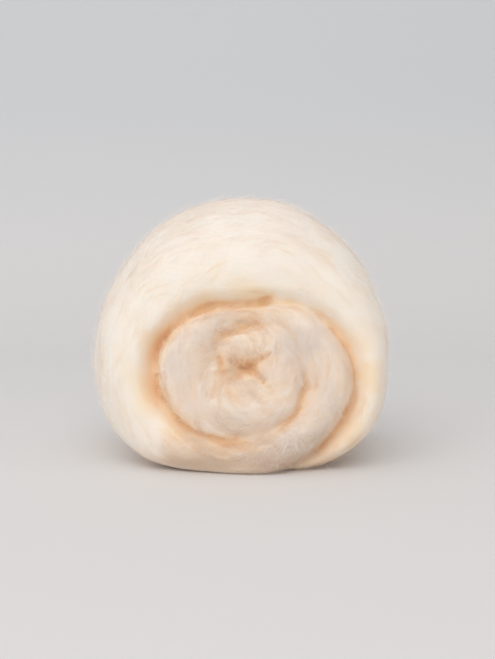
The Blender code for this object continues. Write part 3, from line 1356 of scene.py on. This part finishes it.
    def painted_dark_shade(self, points: Array) -> Array:
        """Painted shade on the front: a darkening towards the surface below and round the spiral's heart.

        Args:
            points: the points.

        Returns:
            The dullness at each, from 0 to 1.
        """
        across, up = points[:, 0], points[:, 2]
        uneven = 1 + self.foot_shade_uneven * Unevenness.FOOT_SHADE.at(points)
        open_place = 1 - self.foot_shade_groove * np.clip(self.groove_nearness(points), 0.0, 1.0)
        under = ease(*self.foot_shade_up, up) * ease(*self.foot_shade_across, across)
        ring = ease(0.0, self.foot_shade_core_blend, self.regions.groove_gap(points, 1))
        under *= raised(self.foot_shade_core, ring)
        side = self.side_share * ease(*self.side_across, across) * ease(*self.side_up, up)
        under = np.maximum(under, side)
        # Painted contact shade along the foot, strongest at the surface below.
        rim = self.rim_share * np.exp(-up / self.rim_height)
        low = self.regions.in_front(points) * (open_place * under * self.foot_shade_share * uneven + rim)
        return np.clip(low + self.heart_painted_dim * self.heart(points), 0.0, 1.0)


# ------------------------------------------------------------------------------------------ shader building


class Value:
    """A number that varies over a surface. Sums on it add Math nodes."""

    def __init__(self, tree: "ShaderTree", socket: bpy.types.NodeSocket) -> None:
        """Wraps an output socket of a tree."""
        self.tree = tree
        self.socket = socket

    def maths(self, operation: str, *others: "Value | float", first: bool = True) -> "Value":
        """This number and others through one Math node; first says whether this one comes first."""
        terms = (self, *others) if first else (*others, self)
        return Value(self.tree, self.tree.add("ShaderNodeMath", {"operation": operation}, terms).outputs[0])

    def __add__(self, other: "Value | float") -> "Value":
        """The sum."""
        return self.maths("ADD", other)

    __radd__ = __add__

    def __mul__(self, other: "Value | float") -> "Value":
        """The product."""
        return self.maths("MULTIPLY", other)

    __rmul__ = __mul__

    def __sub__(self, other: "Value | float") -> "Value":
        """This number less the other."""
        return self.maths("SUBTRACT", other)

    def __rsub__(self, other: "Value | float") -> "Value":
        """The other number less this one."""
        return self.maths("SUBTRACT", other, first=False)

    def eased(self, low: float, high: float) -> "Value":
        """Rises smoothly from 0 where this is low to 1 where it is high."""
        settings = {"interpolation_type": "SMOOTHSTEP"}
        inputs = {"Value": self, "From Min": low, "From Max": high}
        return Value(self.tree, self.tree.add("ShaderNodeMapRange", settings, inputs).outputs[0])


class ShaderTree:
    """A material's nodes, each added by its type, its settings and its sockets' values or links."""

    def __init__(self, name: str) -> None:
        """Starts an empty material with a Principled shader and its output.

        Args:
            name: the material's name.
        """
        self.material = bpy.data.materials.new(name)
        self.material.use_nodes = True
        self.tree = self.material.node_tree
        self.tree.nodes.clear()
        self.shader = self.add("ShaderNodeBsdfPrincipled", {}, {})
        self.add("ShaderNodeOutputMaterial", {}, {"Surface": self.shader.outputs[0]})

    def add(self, kind: str, settings: dict, inputs: dict | tuple) -> bpy.types.Node:
        """Adds one node.

        Args:
            kind: the node's type.
            settings: its own settings, set before its sockets.
            inputs: values, Values or output sockets for its inputs, by name, by number or in order.

        Returns:
            The node.
        """
        node = self.tree.nodes.new(kind)
        for name, value in settings.items():
            setattr(node, name, value)
        pairs = inputs.items() if isinstance(inputs, dict) else enumerate(inputs)
        for key, value in pairs:
            self.feed(node.inputs[key], value)
        return node

    def feed(
        self, socket: bpy.types.NodeSocket, value: "Value | bpy.types.NodeSocket | float | tuple"
    ) -> None:
        """Links an input socket to a Value or an output socket, or sets it to a plain value.

        Args:
            socket: the input socket.
            value: what it is given.
        """
        source = value.socket if isinstance(value, Value) else value
        if isinstance(source, bpy.types.NodeSocket):
            self.tree.links.new(source, socket)
        else:
            socket.default_value = source

    def attribute(self, name: str) -> bpy.types.Node:
        """A node that reads one of the mesh's attributes."""
        return self.add("ShaderNodeAttribute", {"attribute_name": name}, {})

    def noise(self, vector: bpy.types.NodeSocket, scale: float, detail: float, rough: float = 0.5) -> Value:
        """Noise over a vector.

        Args:
            vector: the places that it is read at.
            scale: how many cells it has to a unit.
            detail: how many finer layers it has.
            rough: how strong each is beside the one before.

        Returns:
            The noise, from 0 to 1.
        """
        inputs = {"Vector": vector, "Scale": scale, "Detail": detail, "Roughness": rough}
        return Value(self, self.add("ShaderNodeTexNoise", {}, inputs).outputs[0])

    def scaled(self, vector: bpy.types.NodeSocket, by: Place) -> bpy.types.NodeSocket:
        """A vector times another, part by part."""
        return self.add("ShaderNodeVectorMath", {"operation": "MULTIPLY"}, {0: vector, 1: by}).outputs[0]

    def blend(
        self, share: Value, a: "Colour | bpy.types.NodeSocket", b: "Colour | bpy.types.NodeSocket"
    ) -> bpy.types.NodeSocket:
        """A colour between two others.

        Args:
            share: how much of the second colour there is.
            a: the first colour.
            b: the second.

        Returns:
            The colour's output socket.
        """
        a, b = ((*c, 1.0) if isinstance(c, tuple) else c for c in (a, b))
        return self.add("ShaderNodeMix", {"data_type": "RGBA"}, {0: share, 6: a, 7: b}).outputs[2]

    def dress(self, values: dict) -> None:
        """Sets or links the shader's sockets by name."""
        for name, value in values.items():
            self.feed(self.shader.inputs[name], value)


@dataclass(frozen=True)
class WoolFinish:
    """The roll's own surface: cream wool, painted a warm peach where it lies in shade between the turns.

    pale to amber: its shades, from the least warm to the warmest; honey and amber are mostly painted shade.
    dun: the darker brown of the painted shade near the foot.
    cream_at, honey_at, amber_at: how warm the colour is made where each shade takes over.
    fine_scale, broad_scale: how many streaks of each kind to a metre, along the band and across it.
    fine_detail, fine_rough, soft_detail: how many finer layers the streaks have, and how strong they are.
    fine_share: how much of the streaks is fine.
    cloud_scale: how many soft clouds there are to a metre.
    streak_share, cloud_share: how far streaks and soft clouds shift the shade.
    streak_height, bump_strength: how high the streaks stand and how strongly that shows.
    glow_*: how far light goes into the wool and what share of it does.
    sheen_*: the faint light along its edges.
    """

    pale: Colour = (0.94, 0.865, 0.785)
    cream: Colour = (0.95, 0.86, 0.765)
    honey: Colour = (0.94, 0.76, 0.55)
    amber: Colour = (0.83, 0.56, 0.33)
    dun: Colour = (0.68, 0.56, 0.44)
    cream_at: Span = (0.0, 0.25)
    honey_at: Span = (0.20, 0.60)
    amber_at: Span = (0.55, 1.0)
    fine_scale: Place = (110.0, 2400.0, 0.0)
    fine_detail: float = 3.0
    fine_rough: float = 0.6
    fine_share: float = 0.6
    broad_scale: Place = (45.0, 420.0, 0.0)
    cloud_scale: float = 42.0
    soft_detail: float = 2.0
    streak_share: float = 0.18
    cloud_share: float = 0.06
    streak_height: float = 0.00022
    bump_strength: float = 0.5
    roughness: float = 0.92
    specular: float = 0.15
    glow_share: float = 0.4
    glow_spread: Colour = (1.0, 0.80, 0.62)
    glow_depth: float = 0.003
    sheen: float = 0.25
    sheen_roughness: float = 0.45
    sheen_tint: tuple[float, float, float, float] = (1.0, 0.95, 0.88, 1.0)

    def material(self) -> bpy.types.Material:
        """Makes the material. Streaks follow the band's own map; painted shade follows how deep a point
        lies.

        Returns:
            The material.
        """
        tree = ShaderTree("combed_wool")
        along = tree.attribute("band").outputs["Vector"]
        spot = tree.add("ShaderNodeTexCoord", {}, {}).outputs["Object"]
        fine = tree.noise(tree.scaled(along, self.fine_scale), 1.0, self.fine_detail, self.fine_rough)
        broad = tree.noise(tree.scaled(along, self.broad_scale), 1.0, self.soft_detail)
        cloud = tree.noise(spot, self.cloud_scale, self.soft_detail)
        # The warmth attribute is mostly painted shade: high in grooves and creases, it turns cream to honey
        # and amber.
        deep = Value(tree, tree.attribute("tone_and_painted_shade").outputs["Fac"])
        streak = fine * self.fine_share + broad * (1 - self.fine_share)
        shade = deep + (streak - 0.5) * self.streak_share + (cloud - 0.5) * self.cloud_share
        body = tree.blend(shade.eased(*self.cream_at), self.pale, self.cream)
        body = tree.blend(shade.eased(*self.honey_at), body, self.honey)
        body = tree.blend(shade.eased(*self.amber_at), body, self.amber)
        # Painted shade: the dullness attribute darkens the colour to brown towards the foot and round the
        # heart.
        body = tree.blend(Value(tree, tree.attribute("painted_dark_shade").outputs["Fac"]), body, self.dun)
        inputs = {"Strength": self.bump_strength, "Distance": self.streak_height, "Height": streak}
        bump = tree.add("ShaderNodeBump", {}, inputs).outputs[0]
        tree.dress(
            {
                "Base Color": body,
                "Roughness": self.roughness,
                "Specular IOR Level": self.specular,
                "Subsurface Weight": self.glow_share,
                "Subsurface Radius": self.glow_spread,
                "Subsurface Scale": self.glow_depth,
                "Sheen Weight": self.sheen,
                "Sheen Roughness": self.sheen_roughness,
                "Sheen Tint": self.sheen_tint,
                "Normal": bump,
            }
        )
        return tree.material


@dataclass(frozen=True)
class FibreFinish:
    """A loose fibre's finish: one plain colour, as fibres are too thin for a pattern."""

    name: str
    colour: Colour
    roughness: float = 0.8
    specular: float = 0.2
    sheen: float = 0.2
    sheen_roughness: float = 0.4

    def material(self) -> bpy.types.Material:
        """Makes the material: matt, with the faint sheen of wool.

        Returns:
            The material.
        """
        tree = ShaderTree(self.name)
        tree.dress(
            {
                "Base Color": (*self.colour, 1.0),
                "Roughness": self.roughness,
                "Specular IOR Level": self.specular,
                "Sheen Weight": self.sheen,
                "Sheen Roughness": self.sheen_roughness,
            }
        )
        return tree.material


class Shade(Enum):
    """The shades that the loose fibres come in. The warmer and darker ones mostly carry painted shade."""

    PALE = FibreFinish("pale_fibre", (0.955, 0.885, 0.82))
    CREAM = FibreFinish("cream_fibre", (0.965, 0.88, 0.79))
    HONEY = FibreFinish("honey_fibre", (0.94, 0.79, 0.61))
    AMBER = FibreFinish("amber_fibre", (0.88, 0.63, 0.40))
    DUN = FibreFinish("painted_shade_fibre", (0.84, 0.71, 0.58))


# ------------------------------------------------------------------------------------------ loose fibres


class LayStyle(NamedTuple):
    """What all fibres that lie in one way have in common.

    points: how many points a fibre's path has.
    spread: how far apart the fibres of a lock lie.
    crimp: how high a fibre's waves are.
    close: whether it lies close on the wool, and so can carry the painted shade of the wool under it.
    curls: whether it is an arc of a circle and not a path over the skin.
    """

    points: int
    spread: float
    crimp: float
    close: bool
    curls: bool


class Lay(Enum):
    """How a kind of fibre lies.

    COMBED: along the band, with both ends in the wool.
    LONG: the same, on the flank and the back only.
    STRAY: along the band, with its far end free.
    TEASED: in short arcs over the wool, at every slant.
    FUZZ: short and curled, standing off the wool.
    """

    COMBED = LayStyle(points=7, spread=2.2e-4, crimp=2.5e-4, close=True, curls=False)
    LONG = LayStyle(points=8, spread=3.0e-4, crimp=3.0e-4, close=True, curls=False)
    STRAY = LayStyle(points=9, spread=0.0, crimp=5.0e-4, close=False, curls=False)
    TEASED = LayStyle(points=5, spread=0.0, crimp=0.0, close=True, curls=True)
    FUZZ = LayStyle(points=6, spread=0.0, crimp=0.0, close=False, curls=True)


class FibreKind(NamedTuple):
    """One kind of loose fibre and how many of them there are.

    name: the name of its piece.
    seed: what its chances come from.
    locks, in_lock: how many locks there are, and how many fibres each has.
    width: a fibre's width.
    wander: how far a fibre turns off the way in which the wool is combed, in radians.
    length: the shortest and the longest.
    lift: how high a laid fibre's arch stands, or how steeply an arc of a circle leans, least and most.
    warm: how warm the wool's colour is made where it starts, painted shade included, least and most.
    """

    name: str
    lay: Lay
    shade: Shade
    seed: int
    locks: int
    in_lock: int
    width: float
    wander: float
    length: Span
    lift: Span
    warm: Span


# Each kind starts where the wool is as warm as it asks, so the honey, amber and darker brown fibres carry
# the painted shade.
KINDS = (
    FibreKind(
        "combed_pale", Lay.COMBED, Shade.PALE, 1, 1500, 8, 6e-5, 0.45,
        length=(7e-3, 16e-3), lift=(0.0, 5e-4), warm=(0.0, 0.12),
    ),
    FibreKind(
        "combed_cream", Lay.COMBED, Shade.CREAM, 2, 1500, 8, 7e-5, 0.50,
        length=(7e-3, 14e-3), lift=(0.0, 4e-4), warm=(0.0, 0.40),
    ),
    FibreKind(
        "combed_honey", Lay.COMBED, Shade.HONEY, 3, 1150, 6, 6e-5, 0.50,
        length=(6e-3, 12e-3), lift=(0.0, 4e-4), warm=(0.11, 0.65),
    ),
    FibreKind(
        "combed_amber", Lay.COMBED, Shade.AMBER, 9, 500, 5, 6e-5, 0.50,
        length=(4e-3, 9e-3), lift=(0.0, 3e-4), warm=(0.45, 1.0),
    ),
    FibreKind(
        "combed_dun", Lay.COMBED, Shade.DUN, 10, 260, 8, 7e-5, 0.50,
        length=(7e-3, 14e-3), lift=(0.0, 4e-4), warm=(0.0, 0.80),
    ),
    FibreKind(
        "long_cream", Lay.LONG, Shade.CREAM, 12, 420, 9, 7e-5, 0.35,
        length=(14e-3, 28e-3), lift=(1e-4, 6e-4), warm=(0.0, 0.25),
    ),
    FibreKind(
        "teased_dun", Lay.TEASED, Shade.DUN, 11, 1800, 1, 7e-5, 0.8,
        length=(3e-3, 7e-3), lift=(0.1, 0.7), warm=(0.0, 0.80),
    ),
    FibreKind(
        "teased_pale", Lay.TEASED, Shade.PALE, 4, 9000, 1, 6e-5, 0.8,
        length=(3e-3, 8e-3), lift=(0.1, 0.8), warm=(0.0, 0.12),
    ),
    FibreKind(
        "teased_cream", Lay.TEASED, Shade.CREAM, 5, 10000, 1, 7e-5, 0.8,
        length=(3e-3, 7e-3), lift=(0.1, 0.7), warm=(0.0, 0.45),
    ),
    FibreKind(
        "teased_honey", Lay.TEASED, Shade.HONEY, 6, 5000, 1, 6e-5, 0.8,
        length=(2e-3, 5e-3), lift=(0.1, 0.7), warm=(0.25, 0.8),
    ),
    FibreKind(
        "stray_fibres", Lay.STRAY, Shade.PALE, 7, 1500, 1, 5e-5, 0.7,
        length=(8e-3, 20e-3), lift=(6e-4, 35e-4), warm=(0.0, 0.30),
    ),
    FibreKind(
        "fuzz", Lay.FUZZ, Shade.PALE, 8, 7500, 1, 3.5e-5, 1.0,
        length=(2e-3, 6e-3), lift=(0.3, 1.3), warm=(0.0, 0.25),
    ),
)


@dataclass(frozen=True)
class Ground:
    """What the fibres lie on: the skin, with a value for each of its points.

    normals: its outward directions.
    flow: the way in which it is combed.
    warmth, dull: how warm its colour is made, mostly painted shade, and how far painted shade darkens it.
    face: 1 where the band's edges show.
    away: 1 on the flank and the back.
    """

    skin: Skin
    normals: Array
    flow: Array
    tone_and_painted_shade: Array
    painted_dim: Array
    face: Array
    away: Array


@dataclass(frozen=True)
class FibreCover:
    """Lays fibres on the roll's skin and makes each kind one mesh of thin ribbons.

    flat_chance: how likely a close fibre starts on the band's flat side, beside its edges.
    away_chance: how much likelier it is on the flank and the back.
    arc_margin: how many steps round a teased fibre's start the wool has to be no warmer than its kind asks.
    warm_margin: how much warmer the wool may get along a path.
    pinch_inside, pinch_outside: how far from the axis paths stop, and how far from it they run on freely.
    base_clear, loose_clear: how high above the surface below close and loose fibres start.
    lock_turn, fibre_turn, fibre_drift: the shares of the wander by which locks and fibres turn and drift.
    hop: how long a step of a path is at the most.
    settle_steps: how often the nearest point is looked for.
    slip: how far along itself a fibre is slipped at its start, as a share of its length.
    even_rounds: how often a path is evened out.
    free_power: how late a stray fibre rises off the wool.
    clear, sink: how high above the skin a path lies, and how far below that its ends go.
    waves: how many waves a fibre has, least and most.
    arc_turn, arc_sideways, arc_bend: how far arcs turn off the flow, bend sideways and bend on at the end.
    fuzz_pull, fuzz_bend: how far fuzz is pulled down to the wool, and how far it bends, least and most.
    twist: how far a standing ribbon is twisted, in radians.
    tip_share, tip_margin, tip_power: how wide a ribbon's tips are, and how it narrows to them.
    width_share: how a fibre's width varies, least and most.
    """

    regions: Regions
    ground: Ground
    flat_chance: float = 0.05
    away_chance: float = 0.12
    arc_margin: int = 1
    warm_margin: float = 0.28
    pinch_inside: float = 0.0020
    pinch_outside: float = 0.0110
    base_clear: float = 0.0022
    loose_clear: float = 0.0090
    lock_turn: float = 0.6
    fibre_turn: float = 0.25
    fibre_drift: float = 0.12
    hop: float = 0.0008
    settle_steps: int = 2
    slip: float = 0.35
    even_rounds: int = 2
    free_power: float = 1.6
    clear: float = 0.00012
    sink: float = 0.00008
    waves: Span = (1.0, 2.6)
    arc_turn: float = 1.2
    arc_sideways: float = 0.6
    arc_bend: float = 0.2
    fuzz_pull: float = 0.5
    fuzz_bend: Span = (0.6, 2.6)
    twist: float = 2.0
    tip_share: float = 0.25
    tip_margin: float = 0.04
    tip_power: float = 0.5
    width_share: Span = (0.7, 1.3)

    def rooting(self, kind: FibreKind, rng: np.random.Generator) -> Array:
        """The skin's points where fibres of a kind start: clear of the base and as warm as the kind asks.

        Fibres that lie close are fewer on the band's flat side, which is the calmer one.

        Args:
            kind: the kind of fibre.
            rng: where the chances come from.

        Returns:
            A point's index for each lock.
        """
        ground, close = self.ground, kind.lay.value.close
        low, high = kind.warm
        clear = ground.skin.points[:, 2] > (self.base_clear if close else self.loose_clear)
        warmest = ground.tone_and_painted_shade
        for _ in range(self.arc_margin if kind.lay is Lay.TEASED else 0):
            warmest = warmest[ground.skin.neighbours].max(axis=1)
        chance = (clear & (ground.tone_and_painted_shade >= low) & (warmest <= high)).astype(float)
        if close:
            chance *= raised(self.flat_chance, ground.face) + self.away_chance * ground.away
        if kind.lay is Lay.LONG:
            chance *= ground.away
        # The darker brown fibres go only where shade is painted darker; other close fibres thin out there.
        if kind.shade is Shade.DUN:
            chance *= ground.painted_dim
        elif close:
            chance *= (1 - ground.painted_dim) ** 2
        return rng.choice(len(chance), kind.locks, p=chance / chance.sum())

    def walk(self, kind: FibreKind, rng: np.random.Generator) -> tuple[Array, Array]:
        """Paths that creep over the skin along its flow.

        At each step a path goes on along the flow at its nearest point, turned by an angle of its own that
        drifts, and is put back on the plane that touches the skin there. Steps get shorter towards the
        pinch, where the paths draw together. A path that crosses a place much warmer than its kind asks for
        is left out.

        Args:
            kind: the kind of fibre.
            rng: where the chances come from.

        Returns:
            The paths and the normals under them, both as (fibres, points, 3).
        """
        skin, normals, flow = self.ground.skin, self.ground.normals, self.ground.flow
        spans = kind.lay.value.points - 1
        count = kind.locks * kind.in_lock
        near = np.repeat(self.rooting(kind, rng), kind.in_lock)
        lock_turn = np.repeat(rng.normal(0, self.lock_turn * kind.wander, kind.locks), kind.in_lock)
        turn = lock_turn + rng.normal(0, self.fibre_turn * kind.wander, count)
        drift = rng.normal(0, self.fibre_drift * kind.wander, count)
        length = rng.uniform(*kind.length, count)
        hops = int(np.ceil(kind.length[1] / spans / self.hop))
        stride = (length / spans / hops)[:, None]
        side = np.cross(normals[near], flow[near])
        place = skin.points[near] + rng.normal(0, kind.lay.value.spread, (count, 1)) * side
        place += rng.uniform(-0.5, 0.5, (count, 1)) * self.slip * length[:, None] * flow[near]
        paths, under = [], []
        warmest = np.zeros(count)
        for step in range(kind.lay.value.points * hops):
            for _ in range(self.settle_steps):
                near = skin.nearest(near, place)
            warmest = np.maximum(warmest, self.ground.tone_and_painted_shade[near])
            place = place - dot(place - skin.points[near], normals[near]) * normals[near]
            if step % hops == 0:
                paths.append(place)
                under.append(normals[near])
            bend = (turn + drift * step / hops)[:, None]
            away = np.hypot(*self.regions.face_place(place).T)[:, None]
            slow = ease(self.pinch_inside, self.pinch_outside, away)
            place = place + slow * stride * turned(flow[near], normals[near], bend)
        kept = warmest <= kind.warm[1] + self.warm_margin
        return np.stack(paths, axis=1)[kept], np.stack(under, axis=1)[kept]

    def laid(self, kind: FibreKind, rng: np.random.Generator) -> tuple[Array, Array]:
        """Combed, long or stray fibres: paths over the skin, evened out, crimped and lifted off it.

        Args:
            kind: the kind of fibre.
            rng: where the chances come from.

        Returns:
            The paths and the normals under them, both as (fibres, points, 3).
        """
        paths, under = self.walk(kind, rng)
        for _ in range(self.even_rounds):
            inner = (paths[:, :-2] + 2 * paths[:, 1:-1] + paths[:, 2:]) / 4
            paths = np.concatenate([paths[:, :1], inner, paths[:, -1:]], axis=1)
        count, points = paths.shape[:2]
        share = np.linspace(0, 1, points)
        arch = share**self.free_power if kind.lay is Lay.STRAY else 4 * share * (1 - share)
        lift = rng.uniform(*kind.lift, (count, 1)) * arch - self.sink * (1 - arch)
        wave = 2 * np.pi * (share * rng.uniform(*self.waves, (count, 1)) + rng.uniform(0, 1, (count, 1)))
        side = np.cross(under, unit(np.gradient(paths, axis=1)))
        swerve = kind.lay.value.crimp * np.sin(wave)
        return paths + under * (lift + self.clear)[..., None] + side * swerve[..., None], under

    def curled(self, kind: FibreKind, rng: np.random.Generator) -> tuple[Array, Array]:
        """Teased fibres and fuzz: each is an arc of a circle that starts on the skin and leans off it.

        A teased fibre's arc bends straight back down, by twice its lean, so that its far end meets the skin
        again. Fuzz bends any way and by any amount.

        Args:
            kind: the kind of fibre.
            rng: where the chances come from.

        Returns:
            The paths and the normals under them, both as (fibres, points, 3).
        """
        points, flow = kind.lay.value.points, self.ground.flow
        root = self.rooting(kind, rng)
        up = self.ground.normals[root]
        level = turned(flow[root], up, rng.normal(0, self.arc_turn * kind.wander, (kind.locks, 1)))
        tilt = rng.uniform(*kind.lift, (kind.locks, 1))
        start = np.cos(tilt) * level + np.sin(tilt) * up
        length = rng.uniform(*kind.length, (kind.locks, 1))
        if kind.lay is Lay.TEASED:
            sideways = rng.normal(0, self.arc_sideways, (kind.locks, 1)) * np.cross(up, level)
            towards = unit(np.sin(tilt) * level - np.cos(tilt) * up + sideways)
            bend = 2 * tilt + self.arc_bend
        else:
            anyhow = np.cross(start, unit(rng.normal(size=(kind.locks, 3))))
            towards = unit(anyhow - self.fuzz_pull * up)
            bend = rng.uniform(*self.fuzz_bend, (kind.locks, 1))
        swept = (np.linspace(0, 1, points) * bend)[..., None]
        arc = np.sin(swept) * start[:, None] + (1 - np.cos(swept)) * towards[:, None]
        paths = self.ground.skin.points[root][:, None] + (length / bend)[..., None] * arc
        return paths, np.repeat(up[:, None], points, axis=1)

    def ribbons(self, kind: FibreKind) -> bpy.types.Object:
        """One kind of fibre as one object.

        Each path becomes a strip of four-sided faces, across the path and the normal under it, that narrows
        to nothing much at either end. Standing fibres are twisted about their own length, so that they show
        from all sides.

        Args:
            kind: the kind of fibre.

        Returns:
            The object, with its material.
        """
        rng = np.random.default_rng(kind.seed)
        style = kind.lay.value
        paths, under = self.curled(kind, rng) if style.curls else self.laid(kind, rng)
        count, steps = paths.shape[:2]
        along = unit(np.gradient(paths, axis=1))
        side = unit(np.cross(along, under))
        over = np.cross(side, along)
        if not style.close:
            start = rng.uniform(0, 2 * np.pi, (count, 1))
            twist = (start + np.linspace(0, self.twist, steps))[..., None]
            side = np.cos(twist) * side + np.sin(twist) * over
        share = np.linspace(self.tip_margin, 1 - self.tip_margin, steps)
        taper = raised(self.tip_share, np.sin(np.pi * share) ** self.tip_power)
        half = 0.5 * kind.width * rng.uniform(*self.width_share, (count, 1)) * taper
        paths[..., 2] = np.maximum(paths[..., 2], kind.width)
        points = np.stack([paths - side * half[..., None], paths + side * half[..., None]], axis=2)
        index = np.arange(count * steps * 2).reshape(count, steps, 2)
        faces = np.stack([index[:, :-1, 0], index[:, :-1, 1], index[:, 1:, 1], index[:, 1:, 0]], axis=-1)
        mesh = new_mesh(kind.name, points.reshape(-1, 3), faces.reshape(-1, 4))
        if style.close:
            mesh.normals_split_custom_set_from_vertices(np.repeat(under, 2, axis=1).reshape(-1, 3))
        mesh.materials.append(kind.shade.value.material())
        return shown(mesh)


# ------------------------------------------------------------------------------------------ the roll


@dataclass(frozen=True)
class RovingRoll:
    """The whole roll: its skin and its loose fibres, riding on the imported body."""

    winding: Winding
    finish: WoolFinish

    def body(self, skin: Skin, tone_and_painted_shade: Array, painted_dim: Array) -> bpy.types.Object:
        """The skin as an object, with the band's own map and the painted shade at each point.

        Args:
            skin: the skin.
            tone_and_painted_shade: how warm each of its points is made, mostly painted shade.
            painted_dim: how far painted shade darkens each.

        Returns:
            The object, with its material.
        """
        mesh = new_mesh(SKIN_NAME, skin.points, skin.faces)
        band = mesh.attributes.new("band", "FLOAT_VECTOR", "CORNER")
        places = np.pad(corner_places(skin, self.winding), ((0, 0), (0, 1)))
        band.data.foreach_set("vector", places.astype(np.float32).ravel())
        for name, values in (("tone_and_painted_shade", tone_and_painted_shade), ("painted_dark_shade", painted_dim)):
            mesh.attributes.new(name, "FLOAT", "POINT").data.foreach_set("value", values.astype(np.float32))
        mesh.materials.append(self.finish.material())
        return shown(mesh)

    def build(self) -> list[bpy.types.Object]:
        """Every piece of the roll.

        Returns:
            The skin and the kinds of fibre.
        """
        regions, comb = Regions(self.winding), Comb(self.winding)
        creases, locks = Creases(regions), Locks(regions, comb)
        shading = Shading(regions, creases, locks)
        skin = RollSkin(regions, creases, locks).build()
        tone_and_painted_shade, painted_dim = shading.tone_and_painted_shade(skin), shading.painted_dark_shade(skin.points)
        face, away = regions.edge_share(skin.points), regions.away(skin.points)
        ground = Ground(skin, skin.normals(), comb.flow(skin), tone_and_painted_shade, painted_dim, face, away)
        cover = FibreCover(regions, ground)
        body = self.body(skin, tone_and_painted_shade, painted_dim)
        made = [body] + [cover.ribbons(kind) for kind in KINDS]
        for piece in made:
            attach(piece, BODY)
            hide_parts(CAD_NODE)
            LOG.info("%s: %d faces", piece.name, len(piece.data.polygons))
        return made


# ------------------------------------------------------------------------------------------ floor and light


class SoftBox(NamedTuple):
    """A square light that faces the roll.

    name: its name.
    place: where it stands.
    power: how strong it is, in watts.
    """

    name: str
    place: Place
    power: float


@dataclass(frozen=True)
class Studio:
    """A pale floor that sweeps up into a plain backdrop, soft light and the camera.

    wall_full: how high up the backdrop has its own colour.
    sweep_start, sweep_radius: where the floor starts to curve up, and how wide the curve is.
    reach, rise_share: how far the sweep runs to the sides and in front, and how much further it rises.
    aim, light_side: what the lights face, and how long their sides are.
    bounces: how often light is followed from wool to wool.
    """

    floor: Colour = (0.78, 0.765, 0.76)
    wall: Colour = (0.68, 0.695, 0.715)
    wall_full: float = 0.22
    roughness: float = 0.9
    sweep_start: float = 0.30
    sweep_radius: float = 0.45
    sweep_steps: int = 24
    reach: float = 1.6
    rise_share: float = 1.5
    soft_boxes: tuple[SoftBox, ...] = (
        SoftBox("top_light", (-0.15, -0.35, 1.15), 3.3),
        SoftBox("front_light", (-0.30, -1.20, 0.85), 9.7),
    )
    light_side: float = 1.6
    aim: Place = (0.0, 0.0, 0.05)
    sky: tuple[float, float, float, float] = (1.0, 0.985, 0.975, 1.0)
    sky_strength: float = 0.545
    camera_place: Place = (0.0032, -0.5080, 0.1032)
    camera_down_deg: float = 6.125
    lens: float = 71.0
    bounces: int = 12

    def sweep(self) -> bpy.types.Object:
        """The floor and backdrop: a flat run, a quarter circle and a straight rise, carried along X.

        Returns:
            The sweep, with its material.
        """
        angle = np.linspace(0, np.pi / 2, self.sweep_steps)
        y = np.concatenate([[-self.reach], self.sweep_start + self.sweep_radius * np.sin(angle)])
        z = np.concatenate([[0.0], self.sweep_radius * (1 - np.cos(angle))])
        y, z = np.append(y, y[-1]), np.append(z, self.reach * self.rise_share)
        x = np.array([-self.reach, self.reach])
        points = np.stack([np.repeat(x, len(y)), np.tile(y, 2), np.tile(z, 2)], axis=1)
        near = np.arange(len(y) - 1)
        faces = np.stack([near, near + len(y), near + len(y) + 1, near + 1], axis=1)
        made = shown(new_mesh("studio_sweep", points, faces))
        tree = ShaderTree("studio_card")
        place = tree.add("ShaderNodeNewGeometry", {}, {}).outputs[0]
        height = Value(tree, tree.add("ShaderNodeSeparateXYZ", {}, {0: place}).outputs["Z"])
        colour = tree.blend(height.eased(0.0, self.wall_full), self.floor, self.wall)
        tree.dress({"Base Color": colour, "Roughness": self.roughness})
        made.data.materials.append(tree.material)
        return made

    def light(self, box: SoftBox) -> None:
        """Puts up a square light, turned to face the roll.

        Args:
            box: the light's name, place and power.
        """
        light = bpy.data.lights.new(box.name, "AREA")
        light.shape = "SQUARE"
        light.size = self.light_side
        light.energy = box.power
        made = bpy.data.objects.new(box.name, light)
        made.location = box.place
        towards = np.subtract(self.aim, box.place)
        across = float(np.hypot(towards[0], towards[1]))
        tip = float(np.arctan2(across, -towards[2]))
        made.rotation_euler = (tip, 0.0, float(np.arctan2(-towards[0], towards[1])))
        bpy.context.scene.collection.objects.link(made)

    def camera(self) -> None:
        """Sets up the camera, a little higher than the roll's top and looking slightly down."""
        lens = bpy.data.cameras.new("camera")
        lens.lens = self.lens
        camera = bpy.data.objects.new("camera", lens)
        camera.location = self.camera_place
        camera.rotation_euler = (np.radians(90 - self.camera_down_deg), 0.0, 0.0)
        bpy.context.scene.collection.objects.link(camera)
        bpy.context.scene.camera = camera

    def build(self) -> None:
        """Makes the stage, the lights, the world's even light and the camera."""
        self.sweep()
        for box in self.soft_boxes:
            self.light(box)
        world = bpy.data.worlds.new("studio_world")
        world.use_nodes = True
        background = world.node_tree.nodes["Background"]
        background.inputs["Color"].default_value = self.sky
        background.inputs["Strength"].default_value = self.sky_strength
        bpy.context.scene.world = world
        bpy.context.scene.view_settings.view_transform = "Standard"
        bpy.context.scene.cycles.max_bounces = self.bounces
        bpy.context.scene.cycles.diffuse_bounces = self.bounces
        self.camera()


def main() -> None:
    """Builds the studio and the roll."""
    logging.basicConfig(level=logging.INFO, format="%(message)s")
    Studio().build()
    RovingRoll(Winding(Outline()), WoolFinish()).build()


if __name__ == "__main__":
    main()
